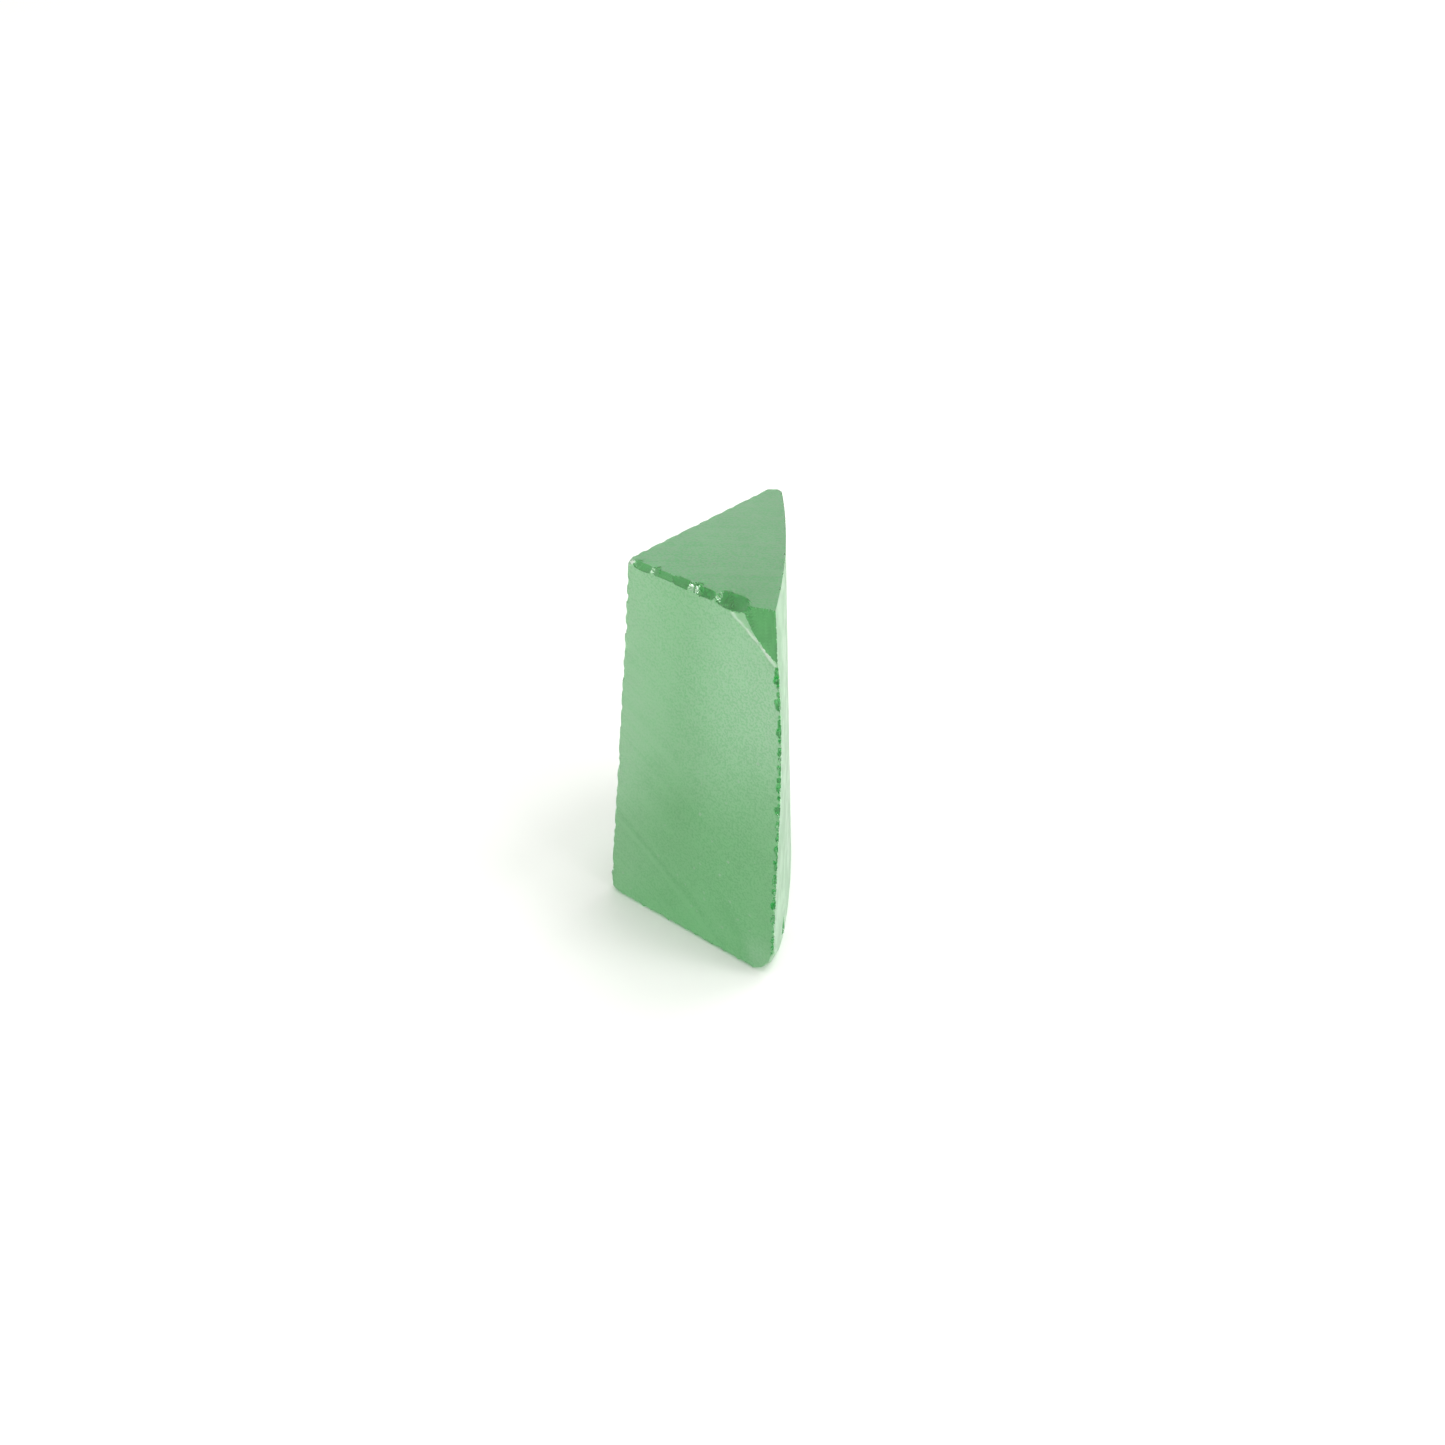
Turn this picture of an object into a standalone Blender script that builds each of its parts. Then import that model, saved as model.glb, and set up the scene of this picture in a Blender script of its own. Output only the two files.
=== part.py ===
"""Block of translucent green crystal, sawn from the rim of a boule as rough for cutting gems.

The block stands on its sawn base. Two upright sawn faces meet in a square corner: the front
face looks along -Y and the side face, which leans in towards the top, looks along -X. The
third side is the boule's own smooth skin, bowed a little both ways. The tip where the front
face, the skin and the top would meet is broken off, and the sawn edges are chipped.

The block is worked out with the foot of its square corner at the origin, and then moved so
that the middle of its base is there. Metres, +Z up.
"""
from math import cos, radians, sin

import bmesh
import bpy
from mathutils import Matrix, Vector

# Overall sizes
HEIGHT = 0.0260
FRONT_WIDTH = 0.0145        # the front face along the base, from the square corner to the skin
SIDE_DEPTH = 0.0188         # the side face along the base, from the square corner to the skin
SIDE_LEAN = 0.00276         # how far the side face comes in from base to top

# Boule skin
SKIN_RADIUS = 0.0770        # across the boule, at base and top
SKIN_FLATTENING = 0.56      # share of that curve that is lost where the skin is flattest
SKIN_LEAN = 0.0009          # how far the skin comes in from base to top
SKIN_TURN = radians(2.0)    # how far the skin turns towards +X from base to top
SKIN_CELL = 0.0023          # width of one strip of the skin's mesh

# Broken tip, measured from the corner that front face, skin and top would make
TIP_ON_FRONT = 0.0026
TIP_ON_SKIN = 0.0010
TIP_DOWN = 0.00275
BEVEL_ON_FRONT = 0.0017     # of the shallow bevel beside the tip, from the tip's end
BEVEL_DOWN = 0.00015        # how far the bevel's foot is below the tip's
BEVEL_DEPTH = 0.00010       # how far the bevel goes in where it meets the tip

# Worn foot, measured from the corner that front face, skin and base would make
FOOT_ON_FRONT = 0.0018
FOOT_ON_SKIN = 0.0045
FOOT_UP = 0.0024
FOOT_FLATS = ((1.0, 0.45, 0.45), (0.45, 1.0, 0.45), (0.45, 0.45, 1.0), (0.62, 0.62, 0.62))

# Other worn corners and edges
BACK_BLUNTING = 0.00095     # depth taken off the sharp back edge
BACK_FLATS = ((radians(75.0), 0.7), (radians(130.0), 1.0))  # heading and share of that depth
CORNER_BLUNTING = 0.00010   # depth taken off the square corner's edge
TOP_BLUNTING = 0.00017      # depth taken off the front edge of the top
CORNER_WEAR_LOW = 0.00055   # length taken off each edge at the square corner's foot
CORNER_WEAR_HIGH = 0.00035  # length taken off each edge at the square corner's top

# Edge chips
CHIP_REACH = 0.00085        # how far a large chip reaches into the top
CHIP_DROP = 0.00042         # how far it reaches down the front face
CHIP_SPAN = 0.0013          # its mean length along the edge
CHIP_GAP = 0.00035          # sound edge between two large chips
SKIN_NICK = 0.00030         # radius of the nicks along the skin edge of the front face
SKIN_NICK_PITCH = 0.00095
CORNER_NICK = 0.00034       # radius of the nicks along the square corner
CORNER_NICK_PITCH = 0.0016
NICK_CLEARANCE = 0.0011     # from an edge's ends to its first and last nick
NICK_OUTSET = 0.45          # of its radius that a nick's middle stands outside its edge
CHIP_UNEVENNESS = 0.15      # share by which large chips differ in size
NICK_UNEVENNESS = 0.22      # share by which nicks differ in size

FLATTEST_AT = 2.0 / 3.0     # of the height, where the skin's curve across is flattest
OVERSIZE = 0.0040           # spare material around the block before it is sawn
SAW_TOLERANCE = 1e-7
MEETING_STEPS = 30          # each one closes most of the gap that is left
SHARP_ANGLE = radians(15.0)
CRYSTAL_GREEN = (0.262, 0.546, 0.305, 1.0)
CRYSTAL_ROUGHNESS = 0.45
CRYSTAL_TRANSMISSION = 0.6
CRYSTAL_IOR = 1.77

FRONT_OUT = Vector((0.0, -1.0, 0.0))
TOP_OUT = Vector((0.0, 0.0, 1.0))
BASE_OUT = Vector((0.0, 0.0, -1.0))
SIDE_OUT = Vector((-HEIGHT, 0.0, SIDE_LEAN)).normalized()


def clear_scene():
    for obj in list(bpy.data.objects):
        bpy.data.objects.remove(obj, do_unlink=True)


def new_collection(name):
    collection = bpy.data.collections.new(name)
    bpy.context.scene.collection.children.link(collection)
    return collection


def corner_at(z):
    """The square corner at a height: it leans in towards the top."""
    return Vector((SIDE_LEAN * z / HEIGHT, 0.0, z))


def side_point(run, z):
    """A point on the side face, a run away from the square corner at that height."""
    return corner_at(z) + Vector((0.0, run, 0.0))


class Skin:
    """The boule's skin: a bowed sheet over the chord that joins the two sawn faces' ends."""

    def __init__(self):
        near = Vector((FRONT_WIDTH, 0.0, 0.0))
        far = side_point(SIDE_DEPTH, 0.0)
        self.along = (far - near).normalized()
        self.outward = self.along.cross(TOP_OUT)
        self.middle = (near + far) / 2.0
        self.half_chord = (far - near).length / 2.0
        self.bow = self.half_chord ** 2 / (2.0 * SKIN_RADIUS)

    def stand_off(self, run, z):
        """How far the skin stands out from its chord, at a run along it and a height.

        The curve across loses most where rise^2 (1 - rise) peaks, two thirds of the way up.
        """
        rise = z / HEIGHT
        peak = FLATTEST_AT ** 2 * (1.0 - FLATTEST_AT)
        flattening = SKIN_FLATTENING * rise ** 2 * (1.0 - rise) / peak
        across = run ** 2 / (2.0 * SKIN_RADIUS) * (1.0 - flattening)
        return self.bow - across - rise * (SKIN_LEAN + SKIN_TURN * run)

    def point(self, run, z):
        flat = self.middle + run * self.along + self.stand_off(run, z) * self.outward
        return Vector((flat.x, flat.y, z))

    def meet(self, start, direction):
        """Where a level line from start reaches the skin, by closing the gap step by step."""
        here = start.copy()
        for _ in range(MEETING_STEPS):
            offset = here - self.middle
            gap = self.stand_off(offset.dot(self.along), here.z) - offset.dot(self.outward)
            here = here + direction * gap / direction.dot(self.outward)
        return here


SKIN = Skin()


def front_edge_at(z):
    """The edge between the front face and the skin at a height."""
    return SKIN.meet(Vector((FRONT_WIDTH, 0.0, z)), Vector((1.0, 0.0, 0.0)))


def back_edge_at(z):
    """The sharp edge between the side face and the skin at a height, before it is blunted."""
    return SKIN.meet(side_point(SIDE_DEPTH, z), Vector((0.0, 1.0, 0.0)))


def skin_edge(z, run):
    """A point on the skin at a height, a run away from the front face."""
    first = (front_edge_at(z) - SKIN.middle).dot(SKIN.along)
    return SKIN.point(first + run, z)


def blank():
    """The skin's bowed sheet, pulled back into a block larger than the finished one."""
    half_width = SKIN.half_chord + OVERSIZE
    half_height = HEIGHT / 2.0 + OVERSIZE
    bm = bmesh.new()
    bmesh.ops.create_grid(
        bm,
        x_segments=round(2.0 * half_width / SKIN_CELL),
        y_segments=round(half_height / SKIN_CELL),
        size=1.0,
    )
    for vert in bm.verts:
        run = vert.co.x * half_width
        height = HEIGHT / 2.0 + vert.co.y * half_height
        vert.co = SKIN.point(run, height)
    pulled = bmesh.ops.extrude_face_region(bm, geom=bm.faces[:])
    back = -SKIN.outward * (FRONT_WIDTH + SIDE_DEPTH)
    moved = [item for item in pulled["geom"] if isinstance(item, bmesh.types.BMVert)]
    bmesh.ops.translate(bm, verts=moved, vec=back)
    bmesh.ops.recalc_face_normals(bm, faces=bm.faces[:])
    return bm


def saw(bm, point, outward):
    """Take away what lies beyond a plane and close the cut with one flat face."""
    geometry = bm.verts[:] + bm.edges[:] + bm.faces[:]
    cut = bmesh.ops.bisect_plane(
        bm,
        geom=geometry,
        dist=SAW_TOLERANCE,
        plane_co=point,
        plane_no=outward,
        clear_outer=True,
    )
    rim = [item for item in cut["geom_cut"] if isinstance(item, bmesh.types.BMEdge)]
    bmesh.ops.edgeloop_fill(bm, edges=rim)


def saw_faces(bm):
    """The base, the top, the front face and the side face."""
    saw(bm, Vector(), BASE_OUT)
    saw(bm, Vector((0.0, 0.0, HEIGHT)), TOP_OUT)
    saw(bm, corner_at(0.0), FRONT_OUT)
    saw(bm, corner_at(0.0), SIDE_OUT)


def blunt_edge(bm, low, high, heading, depth):
    """Take a flat strip off the edge from low to high, facing as nearly as it can to heading."""
    edge = (high - low).normalized()
    outward = (heading - heading.dot(edge) * edge).normalized()
    saw(bm, low - depth * outward, outward)


def plane_normal(first, second, third, outside):
    """Normal of the plane through three points, turned towards a point outside the block."""
    normal = (second - first).cross(third - first).normalized()
    if normal.dot(outside - first) < 0.0:
        normal.negate()
    return normal


def knock_off(bm, corner, ends, shares=(1.0, 1.0, 1.0)):
    """Saw off a corner through a point on each of its edges, a share of the way to its end."""
    points = [corner.lerp(end, share) for end, share in zip(ends, shares)]
    saw(bm, points[0], plane_normal(*points, corner))


def break_tip(bm):
    """The broken tip, and the shallow bevel beside it on the front face."""
    corner = front_edge_at(HEIGHT)
    on_front = corner - Vector((TIP_ON_FRONT, 0.0, 0.0))
    bevel_end = on_front - Vector((BEVEL_ON_FRONT, 0.0, 0.0))
    bevel_foot = front_edge_at(HEIGHT - TIP_DOWN - BEVEL_DOWN)
    pushed_in = on_front - BEVEL_DEPTH * FRONT_OUT
    saw(bm, bevel_end, plane_normal(bevel_end, bevel_foot, pushed_in, corner))
    on_skin = skin_edge(HEIGHT, TIP_ON_SKIN)
    knock_off(bm, corner, (on_front, on_skin, front_edge_at(HEIGHT - TIP_DOWN)))


def wear_foot(bm):
    """Four flats that round the corner of front face, skin and base."""
    corner = front_edge_at(0.0)
    on_front = corner - Vector((FOOT_ON_FRONT, 0.0, 0.0))
    ends = (on_front, skin_edge(0.0, FOOT_ON_SKIN), front_edge_at(FOOT_UP))
    for shares in FOOT_FLATS:
        knock_off(bm, corner, ends, shares)


def wear_square_corner(bm):
    """Small flats at both ends of the square corner, then along its edge and the top's."""
    low = corner_at(0.0)
    high = corner_at(HEIGHT)
    upright = (high - low).normalized()
    for corner, climb, wear in ((low, upright, CORNER_WEAR_LOW), (high, -upright, CORNER_WEAR_HIGH)):
        across = Vector((wear, 0.0, 0.0))
        back = Vector((0.0, wear, 0.0))
        knock_off(bm, corner, (corner + across, corner + back, corner + climb * wear))
    blunt_edge(bm, low, high, FRONT_OUT + SIDE_OUT, CORNER_BLUNTING)
    blunt_edge(bm, high, front_edge_at(HEIGHT), FRONT_OUT + TOP_OUT, TOP_BLUNTING)


def blunt_back(bm):
    """Two flats that take the sharpness off the back edge."""
    low = back_edge_at(0.0)
    high = back_edge_at(HEIGHT)
    for heading, share in BACK_FLATS:
        facing = Vector((cos(heading), sin(heading), 0.0))
        blunt_edge(bm, low, high, facing, BACK_BLUNTING * share)


def add_bite(bm, centre, radii, detail):
    """One pebble-shaped bite with its own radius along X, Y and Z."""
    place = Matrix.Translation(centre) @ Matrix.Diagonal((*radii, 1.0))
    bmesh.ops.create_icosphere(bm, subdivisions=detail, radius=1.0, matrix=place)


def top_chips(bm):
    """Large chips, of unequal length, side by side along the front edge of the top."""
    start = corner_at(HEIGHT)
    room = front_edge_at(HEIGHT).x - TIP_ON_FRONT - start.x
    count = max(1, int(room / (CHIP_SPAN + CHIP_GAP)))
    pitch = room / count
    for index in range(count):
        swell = 1.0 + CHIP_UNEVENNESS * sin(2.3 * index + 0.4)
        half_length = swell * (pitch - CHIP_GAP) / (2.0 + 2.0 * CHIP_UNEVENNESS)
        centre = start + Vector((pitch * (index + 0.5), 0.0, 0.0))
        add_bite(bm, centre, (half_length, CHIP_REACH * swell, CHIP_DROP * swell), 2)


def nicks(bm, edge_at, lowest, highest, radius, pitch, outward):
    """Small nicks up an edge, set a little outside it and of unequal size."""
    count = max(1, int((highest - lowest) / pitch))
    for index in range(count):
        height = lowest + (highest - lowest) * (index + 0.5) / count
        size = radius * (1.0 + NICK_UNEVENNESS * sin(2.7 * index + 1.0))
        centre = edge_at(height) + outward * NICK_OUTSET * radius
        add_bite(bm, centre, (size, size, size), 1)


def cutter(name, collection, fill):
    """A hidden guide object that holds bites taken out of the block."""
    bm = bmesh.new()
    fill(bm)
    obj = to_object(bm, name, collection)
    obj.hide_render = True
    obj.display_type = "WIRE"
    return obj


def to_object(bm, name, collection):
    mesh = bpy.data.meshes.new(name)
    bm.to_mesh(mesh)
    bm.free()
    obj = bpy.data.objects.new(name, mesh)
    collection.objects.link(obj)
    return obj


def crystal_material():
    material = bpy.data.materials.new("green_crystal")
    material.use_nodes = True
    shader = material.node_tree.nodes["Principled BSDF"]
    shader.inputs["Base Color"].default_value = CRYSTAL_GREEN
    shader.inputs["Roughness"].default_value = CRYSTAL_ROUGHNESS
    shader.inputs["Metallic"].default_value = 0.0
    shader.inputs["Transmission Weight"].default_value = CRYSTAL_TRANSMISSION
    shader.inputs["IOR"].default_value = CRYSTAL_IOR
    return material


def bite_out(obj, bites):
    modifier = obj.modifiers.new(bites.name, "BOOLEAN")
    modifier.operation = "DIFFERENCE"
    modifier.solver = "EXACT"
    modifier.object = bites


def skin_nicks(bm):
    low = FOOT_UP + NICK_CLEARANCE
    high = HEIGHT - TIP_DOWN - NICK_CLEARANCE
    outward = (FRONT_OUT + SKIN.outward).normalized()
    nicks(bm, front_edge_at, low, high, SKIN_NICK, SKIN_NICK_PITCH, outward)


def corner_nicks(bm):
    high = HEIGHT - NICK_CLEARANCE
    outward = (FRONT_OUT + SIDE_OUT).normalized()
    nicks(bm, corner_at, NICK_CLEARANCE, high, CORNER_NICK, CORNER_NICK_PITCH, outward)


def centre_on_base(objects, box):
    """Move every object so that the middle of the block's base is at the origin."""
    low, high = box
    for obj in objects:
        obj.location = (-(low.x + high.x) / 2.0, -(low.y + high.y) / 2.0, -low.z)


def bounds(bm):
    low = Vector([min(vert.co[axis] for vert in bm.verts) for axis in range(3)])
    high = Vector([max(vert.co[axis] for vert in bm.verts) for axis in range(3)])
    return low, high


def build():
    clear_scene()
    parts = new_collection("crystal_rough")
    guides = new_collection("crystal_rough_cutters")

    bm = blank()
    saw_faces(bm)
    wear_square_corner(bm)
    break_tip(bm)
    wear_foot(bm)
    blunt_back(bm)
    box = bounds(bm)
    block = to_object(bm, "crystal_block", parts)
    block.data.materials.append(crystal_material())
    block.data.shade_smooth()
    block.data.set_sharp_from_angle(angle=SHARP_ANGLE)

    bites = [
        cutter("top_chip_bites", guides, top_chips),
        cutter("skin_edge_bites", guides, skin_nicks),
        cutter("square_corner_bites", guides, corner_nicks),
    ]
    for cut in bites:
        bite_out(block, cut)
    centre_on_base([block, *bites], box)


build()
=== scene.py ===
"""Looks of a sawn block of green crystal, standing on a white table.

The block replaces its plain CAD solid. It is one closed surface, worked out as whole arrays:
an outline of three sides is carried up from the base to the top and closed over both ends,
and then wear, chips and nicks are pushed into it along lines that run inwards.
Metres, +Z up, the front face looks along -Y.
"""
from __future__ import annotations

import logging
from dataclasses import dataclass, field, replace
from enum import Enum
from math import cos, pi, radians, sin

import bpy
import numpy as np
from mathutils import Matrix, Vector
from numpy.typing import NDArray


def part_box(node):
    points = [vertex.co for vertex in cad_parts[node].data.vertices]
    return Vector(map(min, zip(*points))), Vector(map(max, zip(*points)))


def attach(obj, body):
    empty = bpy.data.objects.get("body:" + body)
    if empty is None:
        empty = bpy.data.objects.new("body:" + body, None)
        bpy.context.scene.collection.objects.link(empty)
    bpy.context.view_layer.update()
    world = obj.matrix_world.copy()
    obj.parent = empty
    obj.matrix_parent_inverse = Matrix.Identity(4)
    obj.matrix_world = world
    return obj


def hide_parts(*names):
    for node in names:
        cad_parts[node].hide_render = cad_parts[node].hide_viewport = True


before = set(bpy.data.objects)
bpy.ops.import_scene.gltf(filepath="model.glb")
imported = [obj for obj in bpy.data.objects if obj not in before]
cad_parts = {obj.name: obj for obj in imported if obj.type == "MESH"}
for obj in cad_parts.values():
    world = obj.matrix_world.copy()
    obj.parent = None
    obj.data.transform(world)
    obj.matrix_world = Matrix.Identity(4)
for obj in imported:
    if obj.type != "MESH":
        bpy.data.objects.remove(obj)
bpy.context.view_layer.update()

LOG = logging.getLogger("crystal_rough")
Array = NDArray[np.float64]
MM = 0.001

# Directions out of the sawn faces, each as if its face were square to the others.
FRONT_OUT = np.array((0.0, -1.0, 0.0))
FLANK_OUT = np.array((-1.0, 0.0, 0.0))
UP = np.array((0.0, 0.0, 1.0))

# A bite's rim wanders by sines of the place; the columns give the three sines' directions.
WANDER_LENGTH = 0.62 * MM
WANDER = 2.0 * pi / WANDER_LENGTH * np.array(
    ((0.8, 0.3, -0.5), (-0.4, 0.9, 0.2), (0.5, -0.3, 0.8)))
WANDER_SHIFT = 3.0          # multiple of a bite's own place, so that no two rims are alike

RIM_WIDTH = 0.02            # share of a bite's radius within which a point is on its rim
FRONT_SLAB = 0.6 * MM       # how deep behind the front face a line drawn on it reaches
EDGE_POINTS = 200           # points along an edge that scoops are spread over
CURVE_POINTS = 160          # points along a curved line on the front face


class Side(Enum):
    """The five faces of the block before it was worn and chipped."""

    FRONT = 0
    SKIN = 1
    FLANK = 2
    TOP = 3
    BASE = 4


class Surface(Enum):
    """What made a patch of the surface; the values are the block's material slots."""

    SAWN = 0
    SKIN = 1
    FRACTURE = 2
    WORN = 3
    RUBBED = 4
    CROSS_SAWN = 5


def unit(vector: Array) -> Array:
    """Vectors along the last axis, brought to length one."""
    vector = np.asarray(vector, float)
    return vector / np.linalg.norm(vector, axis=-1, keepdims=True)


def between(first: Array, last: Array, start: float = 0.0, end: float = 1.0) -> Array:
    """Points on the straight line from one point to another.

    Args:
        first: the point it starts from.
        last: the point it runs to.
        start: share of the way at which the points begin.
        end: share of the way at which they end.

    Returns:
        The points (EDGE_POINTS, 3).
    """
    return first + np.linspace(start, end, EDGE_POINTS)[:, None] * (last - first)


@dataclass(frozen=True)
class Spacing:
    """Gaps between the surface's points along a line, small near both of its ends.

    Attributes:
        fine: gap at the ends.
        coarse: gap far from the ends.
        margin: distance over which the gap grows.
    """

    fine: float
    coarse: float
    margin: float

    def shares(self, length: float, samples: int = 4001) -> Array:
        """Shares of the way along a line, both ends included.

        The gap at a distance d from the nearer end is coarse - (coarse - fine)
        exp(-d / margin); the points lie where its reciprocal, added up, is a whole number.

        Args:
            length: length of the line.
            samples: number of places at which the gap is worked out.

        Returns:
            Shares from 0 to 1.
        """
        way = np.linspace(0.0, length, samples)
        near = np.exp(-np.minimum(way, length - way) / self.margin)
        gap = self.coarse - (self.coarse - self.fine) * near
        count = np.concatenate(([0.0], np.cumsum(np.diff(way) * 2.0 / (gap[1:] + gap[:-1]))))
        steps = int(round(count[-1]))
        return np.interp(np.linspace(0.0, count[-1], steps + 1), count, way) / length

    def inward(self, reach: float) -> Array:
        """Sizes of the rings of a cap, as shares of its rim, from the rim inwards.

        They are the first half of the shares of a line twice as long, so that they are
        close together at the rim only.

        Args:
            reach: distance from the rim to the cap's pole.

        Returns:
            Shares below 1 and above 0.
        """
        shares = self.shares(2.0 * reach)
        return 1.0 - 2.0 * shares[(shares > 0.0) & (shares < 0.5)]


ALONG_FRONT = Spacing(0.08 * MM, 0.125 * MM, 1.5 * MM)
ROUND_SKIN = Spacing(0.08 * MM, 0.26 * MM, 2.0 * MM)
ALONG_FLANK = Spacing(0.09 * MM, 0.32 * MM, 2.0 * MM)
UP_WALLS = Spacing(0.07 * MM, 0.135 * MM, 1.6 * MM)
INTO_TOP = Spacing(0.085 * MM, 0.30 * MM, 1.2 * MM)
INTO_BASE = Spacing(0.15 * MM, 0.6 * MM, 1.5 * MM)


@dataclass(frozen=True)
class BlockSizes:
    """The sharp-edged block's sizes in metres, the same as the CAD model's.

    Attributes:
        height: height of the block.
        front_width: width of the front face at the base.
        side_depth: depth of the side face at the base.
        side_lean: how far the side face leans in over the height.
        skin_radius: radius of the skin's curve across, at the base and the top.
        skin_flattening: largest share of that curve that is lost in between.
        skin_lean: how far the skin leans in over the height.
        skin_turn: how far the skin turns over the height, in radians.
        flattest_at: share of the height at which the skin is flattest.
        skin_run: length of the skin round the block, over which its points are spread.
        cap_reach: distance from the rim of the top or the base to its pole.
    """

    height: float
    front_width: float = 0.0145
    side_depth: float = 0.0188
    side_lean: float = 0.00276
    skin_radius: float = 0.0770
    skin_flattening: float = 0.56
    skin_lean: float = 0.0009
    skin_turn: float = radians(2.0)
    flattest_at: float = 2.0 / 3.0
    skin_run: float = 0.0232
    cap_reach: float = 0.0045


class Skin:
    """The boule's own skin, a bowed sheet over the chord between the two sawn faces' ends."""

    def __init__(self, sizes: BlockSizes) -> None:
        """Set up the chord.

        Args:
            sizes: the block's sizes.
        """
        self.sizes = sizes
        near = np.array((sizes.front_width, 0.0))
        far = np.array((0.0, sizes.side_depth))
        chord = far - near
        self.along = unit(chord)
        self.outward = np.array((self.along[1], -self.along[0]))
        self.middle = (near + far) / 2.0
        self.bow = float(chord @ chord) / 4.0 / (2.0 * sizes.skin_radius)

    def stand_off(self, run: Array, z: Array) -> Array:
        """How far the skin stands out from its chord.

        The bow less run^2 / 2R, of which a share is lost that rises and falls as
        rise^2 (1 - rise), less a lean and a turn that grow with the height.

        Args:
            run: distance along the chord from its middle.
            z: height.

        Returns:
            Distance outwards from the chord.
        """
        s = self.sizes
        rise = z / s.height
        peak = s.flattest_at ** 2 * (1.0 - s.flattest_at)
        lost = s.skin_flattening * rise ** 2 * (1.0 - rise) / peak
        across = run ** 2 / (2.0 * s.skin_radius) * (1.0 - lost)
        return self.bow - across - rise * (s.skin_lean + s.skin_turn * run)

    def point(self, run: Array, z: Array) -> Array:
        """Points of the skin: the chord's middle, a run along it and the stand-off out of it.

        Args:
            run: distances along the chord from its middle.
            z: heights.

        Returns:
            The points (..., 3).
        """
        run, z = np.broadcast_arrays(np.asarray(run, float), np.asarray(z, float))
        off = self.stand_off(run, z)
        flat = self.middle + run[..., None] * self.along + off[..., None] * self.outward
        return np.concatenate((flat, z[..., None]), axis=-1)

    def run_where(self, axis: int, value: Array, z: Array, rounds: int = 30) -> Array:
        """Runs at which the skin crosses the plane where one coordinate has a value.

        The run is found by putting the stand-off at the last guess back in, over and over.

        Args:
            axis: 0 for x, 1 for y.
            value: the coordinate wanted at each height.
            z: heights.
            rounds: how often the guess is made better.

        Returns:
            One run for each height.
        """
        run = np.zeros_like(z)
        for _ in range(rounds):
            off = self.stand_off(run, z)
            run = (value - self.middle[axis] - off * self.outward[axis]) / self.along[axis]
        return run

    def depth(self, points: Array) -> Array:
        """How far points lie inside the skin, measured square to its chord."""
        offset = points[..., :2] - self.middle
        return self.stand_off(offset @ self.along, points[..., 2]) - offset @ self.outward


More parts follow.
